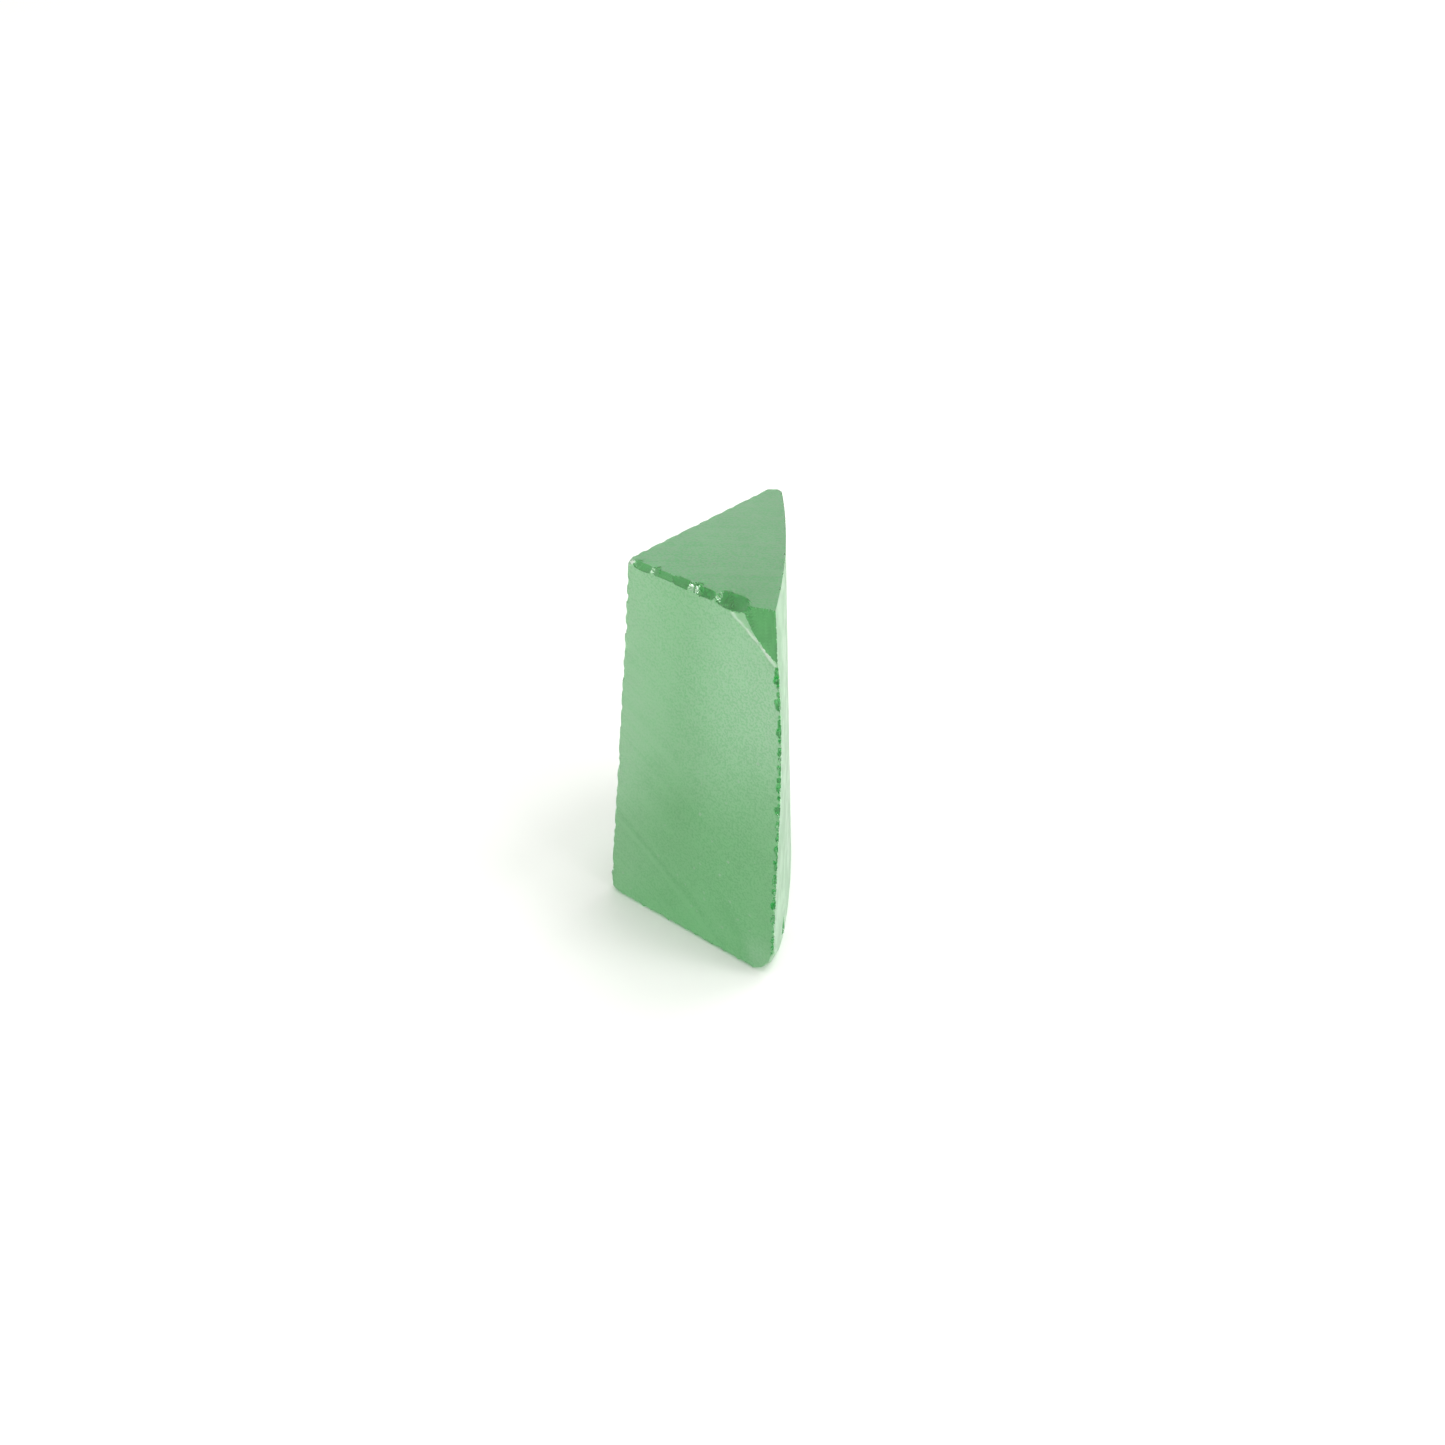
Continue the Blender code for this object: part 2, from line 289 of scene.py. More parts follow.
@dataclass(frozen=True)
class Bite:
    """An ellipsoid that takes material away; a very large one cuts flat.

    Attributes:
        centre: its middle.
        axes: its three axes, as the rows of a turning matrix.
        radii: its radius along each axis.
        surface: what it leaves behind.
        seed: the point from which the fracture spread, with its ripples as circles round it.
        wobble: how uneven its rim is.
        squareness: how blunt its two ends are; one leaves them round.
        shade: how much darker and deeper green what it leaves behind is painted, as painted shade.
    """

    centre: Array
    axes: Array
    radii: Array
    surface: Surface
    seed: Array
    wobble: float = 0.0
    squareness: float = 1.0
    shade: float = 0.0

    def scaled(self, points: Array) -> Array:
        """Points in the frame in which the ellipsoid is a ball of radius one.

        Each coordinate has the wobble times a sine of the place added to it, and the first
        one, which runs along the bite, is then raised to the power of the squareness.

        Args:
            points: the points (..., 3).

        Returns:
            Their scaled coordinates (..., 3).
        """
        ball = ((points - self.centre) @ self.axes.T) / self.radii
        ball = ball + self.wobble * np.sin((points - WANDER_SHIFT * self.centre) @ WANDER)
        ball[..., 0] = np.sign(ball[..., 0]) * np.abs(ball[..., 0]) ** self.squareness
        return ball

    def inside(self, points: Array) -> Array:
        """One less the distance from the ball's middle: above nought inside the bite."""
        return 1.0 - np.linalg.norm(self.scaled(points), axis=-1)

    def push(self, points: Array, inward: Array) -> Array:
        """How far points must go inwards to leave the bite at its far side.

        The larger root t of |q + t e| = 1, with q the scaled point and e the scaled direction.

        Args:
            points: points of the surface.
            inward: unit directions into the block.

        Returns:
            Distances, nought for points outside the bite.
        """
        q = self.scaled(points)
        e = (inward @ self.axes.T) / self.radii
        if self.squareness > 1.0:
            e[..., 0] = 0.0
        a = np.einsum("...i,...i", e, e)
        b = np.einsum("...i,...i", q, e)
        c = np.einsum("...i,...i", q, q) - 1.0
        root = np.sqrt(np.maximum(b * b - a * c, 0.0))
        return np.where(c < 0.0, (root - b) / a, 0.0)

    @classmethod
    def scoop(
        cls,
        middle: Array,
        normal: Array,
        along: Array,
        length: float,
        across: float,
        depth: float,
        surface: Surface = Surface.FRACTURE,
        fullness: float = 3.0,
        wobble: float = 0.07,
        squareness: float = 1.0,
        shade: float = 0.0,
        seed_at: float = 0.2,
    ) -> Bite:
        """A shallow scoop with an oval mouth.

        Args:
            middle: middle of the mouth.
            normal: direction out of the mouth.
            along: direction of its length.
            length: length of the mouth.
            across: width of the mouth.
            depth: how deep the scoop is under its mouth.
            surface: what it leaves behind.
            fullness: radius along the normal as a multiple of the depth.
            wobble: how uneven its rim is.
            squareness: how blunt its two ends are.
            shade: how much darker and deeper green it is painted, as painted shade.
            seed_at: how far its seed lies from the middle, as a share of the length.

        Returns:
            The bite.
        """
        normal = unit(normal)
        along = unit(along - (along @ normal) * normal)
        axes = np.array((along, np.cross(normal, along), normal))
        radius = fullness * depth
        lift = radius - depth
        mouth = np.sqrt(1.0 - (lift / radius) ** 2)
        radii = np.array((length / 2.0 / mouth, across / 2.0 / mouth, radius))
        seed = middle + normal * depth + along * length * seed_at
        return cls(middle + normal * lift, axes, radii, surface, seed, wobble, squareness,
                   shade)

    @classmethod
    def flat(cls, first: Array, second: Array, third: Array, outside: Array,
             surface: Surface, radius: float = 2.0) -> Bite:
        """A cut through three points, as flat as its radius is large and hollowed by it.

        Args:
            first: a point of the cut.
            second: a second one.
            third: a third one.
            outside: a point on the side that is taken away.
            surface: what the cut leaves behind.
            radius: radius of the ball that makes the cut.

        Returns:
            The bite.
        """
        normal = unit(np.cross(second - first, third - first))
        if normal @ (outside - first) < 0.0:
            normal = -normal
        a, b = second - first, third - first
        cross = np.cross(a, b)
        rim = first + (np.cross(cross, a) * (b @ b) + np.cross(b, cross) * (a @ a)) / (
            2.0 * (cross @ cross))
        lift = np.sqrt(max(radius ** 2 - float((rim - first) @ (rim - first)), 0.0))
        return cls(rim + normal * lift, np.eye(3), np.full(3, radius), surface, outside)


@dataclass
class BlockSurface:
    """The block's closed surface: rows of points from base to top, columns round it.

    Attributes:
        sizes: the block's sizes.
        points: the points (rows, columns, 3), from the square corner's foot.
        inward: direction into the block at each point.
        side: the Side of each patch between four points.
        surface: the Surface of each patch.
        ripple: distance of each point from the seed of the fracture it lies in.
        deep: how much deeper the colour is painted at each point, from 0 to 1, partly painted
            shade.
        rub: how much paler than the rest each point is rubbed.
        frost: how strong the frosted grain is at each point.
    """

    sizes: BlockSizes
    points: Array = field(init=False)
    inward: Array = field(init=False)
    side: Array = field(init=False)
    surface: Array = field(init=False)
    ripple: Array = field(init=False)
    deep: Array = field(init=False)
    rub: Array = field(init=False)
    frost: Array = field(init=False)

    def __post_init__(self) -> None:
        """Work out the whole block, still sharp-edged."""
        self.skin = Skin(self.sizes)
        self._lay_out()
        self.inward = self._inward()
        self.ripple, self.deep, self.rub, self.frost = np.zeros((4, *self.points.shape[:2]))

    def corner(self, z: Array) -> Array:
        """Points of the square corner, which leans in by side_lean over the height.

        Args:
            z: heights.

        Returns:
            The points (..., 3).
        """
        z = np.asarray(z, float)
        lean = self.sizes.side_lean * z / self.sizes.height
        return np.stack((lean, np.zeros_like(z), z), axis=-1)

    def front_edge(self, z: Array) -> Array:
        """Points of the edge between the front face and the skin."""
        z = np.atleast_1d(np.asarray(z, float))
        return self.skin.point(self.skin.run_where(1, np.zeros_like(z), z), z)

    def back_edge(self, z: Array) -> Array:
        """Points of the sharp back edge between the side face and the skin."""
        z = np.atleast_1d(np.asarray(z, float))
        return self.skin.point(self.skin.run_where(0, self.corner(z)[..., 0], z), z)

    def skin_point(self, run: float, z: float) -> Array:
        """A point of the skin.

        Args:
            run: distance from the front face along the chord.
            z: height.

        Returns:
            The point.
        """
        height = np.array([z])
        first = self.skin.run_where(1, np.zeros(1), height)
        return self.skin.point(first + run, height)[0]

    def skin_rim(self, z: float) -> Array:
        """The line in which the skin meets a level plane.

        Args:
            z: height of the plane.

        Returns:
            Points from front to back (EDGE_POINTS, 3).
        """
        level = np.full(EDGE_POINTS, z)
        first = self.skin.run_where(1, np.zeros(EDGE_POINTS), level)
        last = self.skin.run_where(0, self.corner(level)[:, 0], level)
        share = np.linspace(0.0, 1.0, EDGE_POINTS)
        return self.skin.point(first + share * (last - first), level)

    def _outline(self, z: Array) -> tuple[Array, Array]:
        """The outline at each height: along the front, round the skin, back along the side.

        Args:
            z: heights, one for each row.

        Returns:
            Points (rows, columns, 3) and the Side of each column.
        """
        s = self.sizes
        front = ALONG_FRONT.shares(s.front_width)[:-1]
        round_skin = ROUND_SKIN.shares(s.skin_run)[:-1]
        back = ALONG_FLANK.shares(s.side_depth)[:-1]
        square, near, far = self.corner(z), self.front_edge(z), self.back_edge(z)
        first = self.skin.run_where(1, np.zeros_like(z), z)
        last = self.skin.run_where(0, square[:, 0], z)
        rows = (
            square[:, None] + front[None, :, None] * (near - square)[:, None],
            self.skin.point(first[:, None] + round_skin * (last - first)[:, None], z[:, None]),
            far[:, None] + back[None, :, None] * (square - far)[:, None],
        )
        side = np.concatenate([
            np.full(len(front), Side.FRONT.value),
            np.full(len(round_skin), Side.SKIN.value),
            np.full(len(back), Side.FLANK.value),
        ])
        return np.concatenate(rows, axis=1), side

    def _lay_out(self) -> None:
        """Carry the outline up the block and shrink it to a point over each end.

        A cap's ring is the rim moved towards the point that lies equally far from the three
        sides, by one share for the whole ring.
        """
        s = self.sizes
        walls, side = self._outline(UP_WALLS.shares(s.height) * s.height)
        rings_top = INTO_TOP.inward(s.cap_reach)
        rings_base = INTO_BASE.inward(s.cap_reach)[::-1]
        top, base = walls[-1], walls[0]
        self.top_pole = self._pole(self.corner(s.height), self.front_edge(s.height)[0],
                                   self.back_edge(s.height)[0])
        self.base_pole = self._pole(self.corner(0.0), self.front_edge(0.0)[0],
                                    self.back_edge(0.0)[0])
        upper = self.top_pole + rings_top[:, None, None] * (top - self.top_pole)
        lower = self.base_pole + rings_base[:, None, None] * (base - self.base_pole)
        self.points = np.concatenate((lower, walls, upper))
        rows = len(self.points) - 1
        self.side = np.broadcast_to(side, (rows, len(side))).copy()
        self.side[: len(lower)] = Side.BASE.value
        self.side[len(lower) + len(walls) - 1:] = Side.TOP.value
        skin = self.side == Side.SKIN.value
        self.surface = np.where(skin, Surface.SKIN.value, Surface.SAWN.value)
        ends = (self.side == Side.TOP.value) | (self.side == Side.BASE.value)
        self.surface[ends] = Surface.CROSS_SAWN.value

    @staticmethod
    def _pole(first: Array, second: Array, third: Array) -> Array:
        """The point equally far from a triangle's three sides.

        It is the mean of the corners, each weighed with the length of the side opposite.

        Args:
            first: a corner.
            second: another corner.
            third: the last corner.

        Returns:
            The point.
        """
        weights = [np.linalg.norm(second - third), np.linalg.norm(third - first),
                   np.linalg.norm(first - second)]
        return np.average((first, second, third), axis=0, weights=weights)

    def _inward(self, reach: float = 3.2 * MM) -> Array:
        """Directions into the block, square to a face and turning to halve the edges.

        The sum of the faces' outward normals, each weighed with 1 - distance / reach and
        never less than nought, turned round.

        Args:
            reach: distance from a face over which it counts.

        Returns:
            One direction for each point.
        """
        s, p = self.sizes, self.points
        lean = np.array((-s.height, 0.0, s.side_lean))
        faces = (
            (p[..., 1], FRONT_OUT),
            (self.skin.depth(p), (*self.skin.outward, 0.0)),
            (p[..., 0] - s.side_lean * p[..., 2] / s.height, unit(lean)),
            (s.height - p[..., 2], UP),
            (p[..., 2], -UP),
        )
        total = np.zeros_like(p)
        for distance, normal in faces:
            weight = np.clip(1.0 - distance / reach, 0.0, 1.0)
            total += weight[..., None] * np.asarray(normal)
        return -unit(total)

    def cut(self, bite: Bite) -> None:
        """Take a bite out: the nearest points move onto its rim, those inside move inwards.

        Only the rows that the bite reaches are worked on, and two more on either side.

        Args:
            bite: the bite.
        """
        hit = np.flatnonzero(bite.inside(self.points).max(axis=1) > 0.0)
        if not len(hit):
            return
        near = slice(max(hit[0] - 2, 0), hit[-1] + 3)
        points, inward = self.points[near], self.inward[near]
        points = self._snap(points, bite.inside(points))
        worth = bite.inside(points)
        points = points + bite.push(points, inward)[..., None] * inward
        self.points[near] = points
        away = np.linalg.norm(points - bite.seed, axis=-1)
        self.ripple[near] = np.where(worth > -RIM_WIDTH, away, self.ripple[near])
        # A bite's shade goes into the deep attribute, as painted shade.
        self.deep[near] = np.where(worth > 0.0, bite.shade, self.deep[near])
        around = worth + np.roll(worth, -1, axis=1)
        patch = (around[:-1] + around[1:]) > 0.0
        self.surface[near.start:near.start + len(patch)][patch] = bite.surface.value

    def streak(self, streak: Streak) -> None:
        """Draw a soft line on the front: sunk a little, and rubbed pale or left deeper.

        Both follow exp(-(distance / width)^2), with the distance from the line.

        Args:
            streak: the line.
        """
        front = self.points[..., 1] < FRONT_SLAB
        here = self.points[front]
        away = np.full(len(here), np.inf)
        for point in streak.line.path():
            away = np.minimum(away, ((here - point) ** 2).sum(axis=1))
        share = np.exp(-away / streak.width ** 2)
        self.points[front] = here + self.inward[front] * (streak.depth * share)[:, None]
        self.rub[front] += streak.rub * share

    @staticmethod
    def _snap(points: Array, worth: Array) -> Array:
        """Move each point that lies next to a bite's rim along the grid onto the rim.

        Where the worth changes sign between two neighbours, the nearer one, which has less
        than half of the way to go, moves to the place on the line between them where the
        worth would be nought.

        Args:
            points: some whole rows of the surface.
            worth: how far each point is inside the bite.

        Returns:
            The points, with those next to the rim moved.
        """
        best = np.full(worth.shape, 0.5)
        target = points.copy()
        for axis, shift in ((1, 1), (1, -1), (0, 1), (0, -1)):
            beside = np.roll(worth, shift, axis=axis)
            share = np.divide(worth, worth - beside, out=np.ones_like(worth),
                              where=(worth * beside) < 0.0)
            if axis == 0:
                share[0 if shift == 1 else -1] = 1.0
            better = share < best
            best = np.where(better, share, best)
            moved = points + share[..., None] * (np.roll(points, shift, axis=axis) - points)
            target = np.where(better[..., None], moved, target)
        return target


class Edge(Enum):
    """The block's edges, and the line along the bevel beside the broken tip."""

    SQUARE_CORNER = "front face and side face"
    FRONT_SKIN = "front face and skin"
    TOP_FRONT = "front face and top"
    BEVEL = "front face and bevel"
    TOP_FLANK = "side face and top"
    TOP_SKIN = "skin and top"
    BASE_FRONT = "front face and base"
    BASE_SKIN = "skin and base"
    BASE_FLANK = "side face and base"


@dataclass(frozen=True)
class EdgeWear:
    """A row of scoops along an edge, of uneven size and spacing.

    Attributes:
        pitch: mean distance between two scoops, in millimetres as all its lengths.
        length: mean length of a scoop's mouth along the edge.
        across: width of its mouth.
        sink: how far the mouth lies under the sharp edge.
        depth: how deep the scoop goes under its mouth.
        surface: what the scoops leave behind.
        tilt: largest turn of a scoop along the edge, in degrees.
        spread: share by which lengths and depths differ.
        squareness: how blunt a scoop's ends are.
        shade: how much darker and deeper green a scoop is painted, as painted shade.
        lean: how much more a scoop faces the way of the edge's first face.
        shift: share of the pitch by which a scoop may be out of step.
        seed: start of the row's own random numbers.
    """

    pitch: float
    length: float
    across: float
    sink: float
    depth: float
    surface: Surface = Surface.FRACTURE
    tilt: float = 10.0
    spread: float = 0.3
    squareness: float = 1.0
    shade: float = 0.0
    lean: float = 1.0
    shift: float = 0.3
    seed: int = 1

    def bites(self, path: Array, first_out: Array, second_out: Array) -> list[Bite]:
        """The row's scoops.

        Args:
            path: points of the edge, close together, from end to end (count, 3).
            first_out: direction out of the edge's first face.
            second_out: direction out of its second face.

        Returns:
            One bite for each scoop.
        """
        rng = np.random.default_rng(self.seed)
        way = np.concatenate(([0.0], np.cumsum(np.linalg.norm(np.diff(path, axis=0), axis=1))))
        count = max(1, int(way[-1] / (self.pitch * MM)))
        steps = np.arange(count) + 0.5 + rng.uniform(-self.shift, self.shift, count)
        at = steps * way[-1] / count
        places = np.stack([np.interp(at, way, path[:, i]) for i in range(3)], axis=1)
        along = unit(path[-1] - path[0])
        out = unit(first_out * self.lean + second_out)
        row = []
        for place in places:
            size, deep = 1.0 + self.spread * rng.uniform(-1.0, 1.0, 2)
            turn = radians(self.tilt) * rng.uniform(-1.0, 1.0)
            normal = out * cos(turn) + along * sin(turn)
            row.append(Bite.scoop(
                place - out * (self.sink * MM) * deep, normal, along,
                self.length * MM * size, self.across * MM * size, self.depth * MM * deep,
                self.surface, squareness=self.squareness, shade=self.shade))
        return row


# Pitch, length, width, sink and depth come first; the scoops are cut in this order.
# Rows with a shade are painted darker, as painted shade: the nicks on the front face's edge with
# the skin, and those along the base's front edge, where the block meets the table.
EDGE_WEAR = (
    (Edge.SQUARE_CORNER, EdgeWear(1.15, 0.95, 0.60, 0.11, 0.16, Surface.WORN, seed=3)),
    (Edge.SQUARE_CORNER, EdgeWear(2.60, 0.50, 0.50, 0.15, 0.09, seed=8)),
    (Edge.FRONT_SKIN, EdgeWear(0.44, 0.28, 0.46, 0.13, 0.10, tilt=28.0, spread=0.35,
                               squareness=1.6, shade=0.9, lean=1.5, seed=11)),
    (Edge.FRONT_SKIN, EdgeWear(1.70, 0.42, 0.56, 0.17, 0.12, tilt=30.0, spread=0.40,
                               squareness=1.6, shade=1.0, lean=1.8, seed=23)),
    (Edge.TOP_FRONT, EdgeWear(0.62, 0.30, 0.30, 0.10, 0.05, Surface.RUBBED, seed=5)),
    (Edge.BEVEL, EdgeWear(0.60, 1.10, 0.24, 0.00, 0.05, Surface.RUBBED, tilt=0.0,
                          spread=0.15, seed=4)),
    (Edge.TOP_FLANK, EdgeWear(1.30, 0.45, 0.16, 0.03, 0.02, Surface.WORN, seed=6)),
    (Edge.TOP_SKIN, EdgeWear(1.50, 0.32, 0.16, 0.03, 0.03, seed=7)),
    (Edge.BASE_FRONT, EdgeWear(0.60, 0.66, 0.36, 0.09, 0.06, shade=0.5, seed=9)),
    (Edge.BASE_SKIN, EdgeWear(0.90, 0.60, 0.30, 0.06, 0.05, seed=10)),
    (Edge.BASE_FLANK, EdgeWear(0.90, 0.60, 0.30, 0.06, 0.05, seed=12)),
)


@dataclass(frozen=True)
class EdgeChip:
    """One large chip on the front edge of the top.

    Attributes:
        at: where along the edge its middle lies, in millimetres from the square corner's
            foot, as all its lengths are in millimetres.
        length: its length along the edge.
        reach: how far it reaches into the top.
        drop: how far it reaches down the front face.
        skew: how far it is turned on the edge, in degrees.
        shade: how much darker and deeper green it is painted, as painted shade.
        depth: how hollow it is.
        overlap: width of its mouth over the distance between its two rims.
        wobble: how uneven its rim is.
        squareness: how blunt its two ends are.
    """

    at: float
    length: float
    reach: float
    drop: float
    skew: float
    shade: float
    depth: float = 0.07
    overlap: float = 1.15
    wobble: float = 0.05
    squareness: float = 2.2

    def bite(self, height: float) -> Bite:
        """The chip as a scoop whose mouth leans from the top over to the front face.

        Args:
            height: height of the top.

        Returns:
            The bite.
        """
        reach, drop, skew = self.reach * MM, self.drop * MM, radians(self.skew)
        middle = np.array((self.at * MM, reach / 2.0, height - drop / 2.0))
        normal = unit(np.array((0.0, -drop, reach)))
        along = np.array((1.0, 0.0, 0.0))
        skewed = along * cos(skew) + np.cross(normal, along) * sin(skew)
        width = float(np.hypot(reach, drop)) * self.overlap
        return Bite.scoop(middle, normal, skewed, self.length * MM, width, self.depth * MM,
                          wobble=self.wobble, squareness=self.squareness, shade=self.shade)


# The last number of each chip is how much darker it is painted, as painted shade.
TOP_CHIPS = (
    EdgeChip(3.95, 1.05, 0.34, 0.34, -6.0, 0.35),
    EdgeChip(5.68, 1.45, 0.31, 0.29, -3.0, 0.20),
    EdgeChip(6.98, 1.00, 0.46, 0.36, -9.0, 0.60),
    EdgeChip(8.86, 1.15, 0.38, 0.38, -5.0, 0.85),
    EdgeChip(10.70, 1.70, 0.95, 0.50, -8.0, 1.0, 0.10),
    EdgeChip(11.78, 0.95, 0.36, 0.46, -6.0, 0.75),
)


@dataclass(frozen=True)
class Glint:
    """A small bright facet between two chips, which faces the lamps.

    Attributes:
        at: where along the edge it lies, in millimetres from the square corner's foot, as
            all its lengths are in millimetres.
        size: its length.
        sink: how far it lies under the sharp edge.
        slimness: its width over its length.
        depth: how hollow it is.
        fullness: radius of its hollow as a multiple of the depth.
        edge_out: direction out of the edge, along which it is sunk.
        facing: direction out of the facet.
        along: direction of its length.
    """

    at: float
    size: float
    sink: float
    slimness: float = 0.75
    depth: float = 0.006
    fullness: float = 18.0
    edge_out: tuple[float, float, float] = (0.0, -1.0, 1.3)
    facing: tuple[float, float, float] = (0.57, -0.27, 0.78)
    along: tuple[float, float, float] = (0.0, 1.0, 0.3)

    def bite(self, height: float) -> Bite:
        """The facet as a very flat scoop.

        Args:
            height: height of the top.

        Returns:
            The bite.
        """
        edge = np.array((self.at * MM, 0.0, height))
        size = self.size * MM
        return Bite.scoop(edge - unit(self.edge_out) * (self.sink * MM), unit(self.facing),
                          np.array(self.along), size, size * self.slimness,
                          self.depth * MM, fullness=self.fullness, wobble=0.0)


GLINTS = (
    Glint(3.30, 0.36, 0.16),
    Glint(4.72, 0.40, 0.16),
    Glint(6.38, 0.32, 0.14),
    Glint(7.72, 0.40, 0.20),
    Glint(8.02, 0.50, 0.24),
    Glint(9.66, 0.40, 0.20),
    Glint(11.05, 0.34, 0.34),
)


@dataclass(frozen=True)
class Curve:
    """A curved line on the front face: p(t) = (1 - t)^2 a + 2 t (1 - t) b + t^2 c.

    Attributes:
        start: a, as distance from the square corner's foot and height, in millimetres.
        bend: b, the point past which the line bends.
        end: c.
    """

    start: tuple[float, float]
    bend: tuple[float, float]
    end: tuple[float, float]

    def path(self) -> Array:
        """The line itself.

        Returns:
            Points along it (CURVE_POINTS, 3).
        """
        t = np.linspace(0.0, 1.0, CURVE_POINTS)[:, None]
        a, b, c = (np.array((x, 0.0, z)) * MM for x, z in (self.start, self.bend, self.end))
        return (1.0 - t) ** 2 * a + 2.0 * t * (1.0 - t) * b + t ** 2 * c


@dataclass(frozen=True)
class Streak:
    """A soft line on the front face, such as one deep stroke of the saw.

    Attributes:
        line: where it runs.
        width: half its width.
        depth: how deep it is sunk.
        rub: how pale it is rubbed; less than nought for a deeper colour.
    """

    line: Curve
    width: float
    depth: float
    rub: float


STREAKS = (
    Streak(Curve((0.6, 6.7), (5.2, 4.0), (9.9, 0.2)), 0.17 * MM, 0.025 * MM, 0.40),
    Streak(Curve((0.9, 7.0), (5.5, 4.25), (10.3, 0.4)), 0.22 * MM, 0.030 * MM, -0.40),
    Streak(Curve((4.2, 6.0), (6.4, 4.4), (8.4, 2.2)), 0.18 * MM, 0.015 * MM, -0.22),
    Streak(Curve((10.4, 3.6), (12.0, 1.9), (12.3, 0.2)), 0.45 * MM, 0.020 * MM, -0.45),
)
BEVEL_LINE = Curve((10.70, 25.43), (12.42, 24.60), (14.05, 23.15))


@dataclass(frozen=True)
class Cloud:
    """A patch of deeper colour or of stronger grain, fading out towards its rim.

    Attributes:
        middle: its middle in millimetres, from the square corner's foot.
        radius: how far it reaches, in millimetres.
        strength: how strong it is in its middle; less than nought takes away.
    """

    middle: tuple[float, float, float]
    radius: float
    strength: float

    def share(self, points: Array) -> Array:
        """The strength times exp(-(distance / radius)^2) at some points."""
        away = ((points / MM - self.middle) ** 2).sum(axis=-1)
        return self.strength * np.exp(-away / self.radius ** 2)


# Where the crystal looks deeper green or paler: on the front, on the top, on the side face.
CLOUDS = (
    Cloud((6.6, 0.0, 9.4), 2.6, 0.34),
    Cloud((0.8, 0.0, 10.0), 3.4, -0.30),
    Cloud((4.5, 0.0, 12.2), 1.8, 0.16),
    Cloud((9.8, 0.0, 5.4), 2.6, 0.14),
    Cloud((8.0, 0.0, 15.5), 3.2, 0.22),
    Cloud((13.4, 0.0, 14.8), 3.0, 0.28),
    Cloud((2.0, 0.0, 3.6), 2.0, -0.16),
    Cloud((13.2, 0.0, 1.2), 1.4, -0.75),
    Cloud((11.2, 0.0, 0.9), 1.0, 0.30),
    Cloud((11.2, 2.0, 26.0), 3.2, 0.35),
    Cloud((4.6, 10.0, 26.0), 2.6, 0.10),
    Cloud((0.0, 6.0, 9.0), 4.0, 0.25),
    Cloud((0.0, 13.0, 17.0), 4.0, 0.22),
)

# Where the frosted grain is stronger or weaker.
FROSTS = (
    Cloud((12.6, 0.0, 18.0), 5.0, 1.0),
    Cloud((11.0, 0.0, 8.0), 4.5, 0.50),
    Cloud((7.0, 2.0, 26.0), 4.5, 0.40),
    Cloud((1.0, 0.0, 17.0), 5.0, -0.20),
)

# Shares of the way to a worn corner's three ends through which its flats are cut.
FOOT_FLATS = ((1.0, 0.45, 0.45), (0.45, 1.0, 0.45), (0.45, 0.45, 1.0), (0.62, 0.62, 0.62),
              (0.74, 0.74, 0.44), (0.44, 0.74, 0.74), (0.74, 0.44, 0.74))
CORNER_FLATS = ((1.0, 1.0, 1.0), (1.5, 1.5, 0.55), (1.5, 0.55, 1.5), (0.55, 1.5, 1.5))

# Headings of the back edge's flats in degrees, and their shares of its blunting.
BACK_FLATS = ((75.0, 0.7), (103.0, 0.93), (130.0, 1.0))

# The saw's direction on each sawn face, and the direction square to it in the face.
STROKES = {
    Side.FRONT: ((0.857, 0.0, -0.515), (0.515, 0.0, 0.857)),
    Side.FLANK: ((0.0, 0.87, 0.5), (0.0, -0.5, 0.87)),
    Side.TOP: ((0.757, 0.653, 0.0), (-0.653, 0.757, 0.0)),
    Side.BASE: ((0.757, 0.653, 0.0), (-0.653, 0.757, 0.0)),
}

# Points of the skin's two rims that are chipped: clear of the tip, the foot and the back.
TOP_RIM_CHIPPED = slice(30, -12)
BASE_RIM_CHIPPED = slice(40, -10)


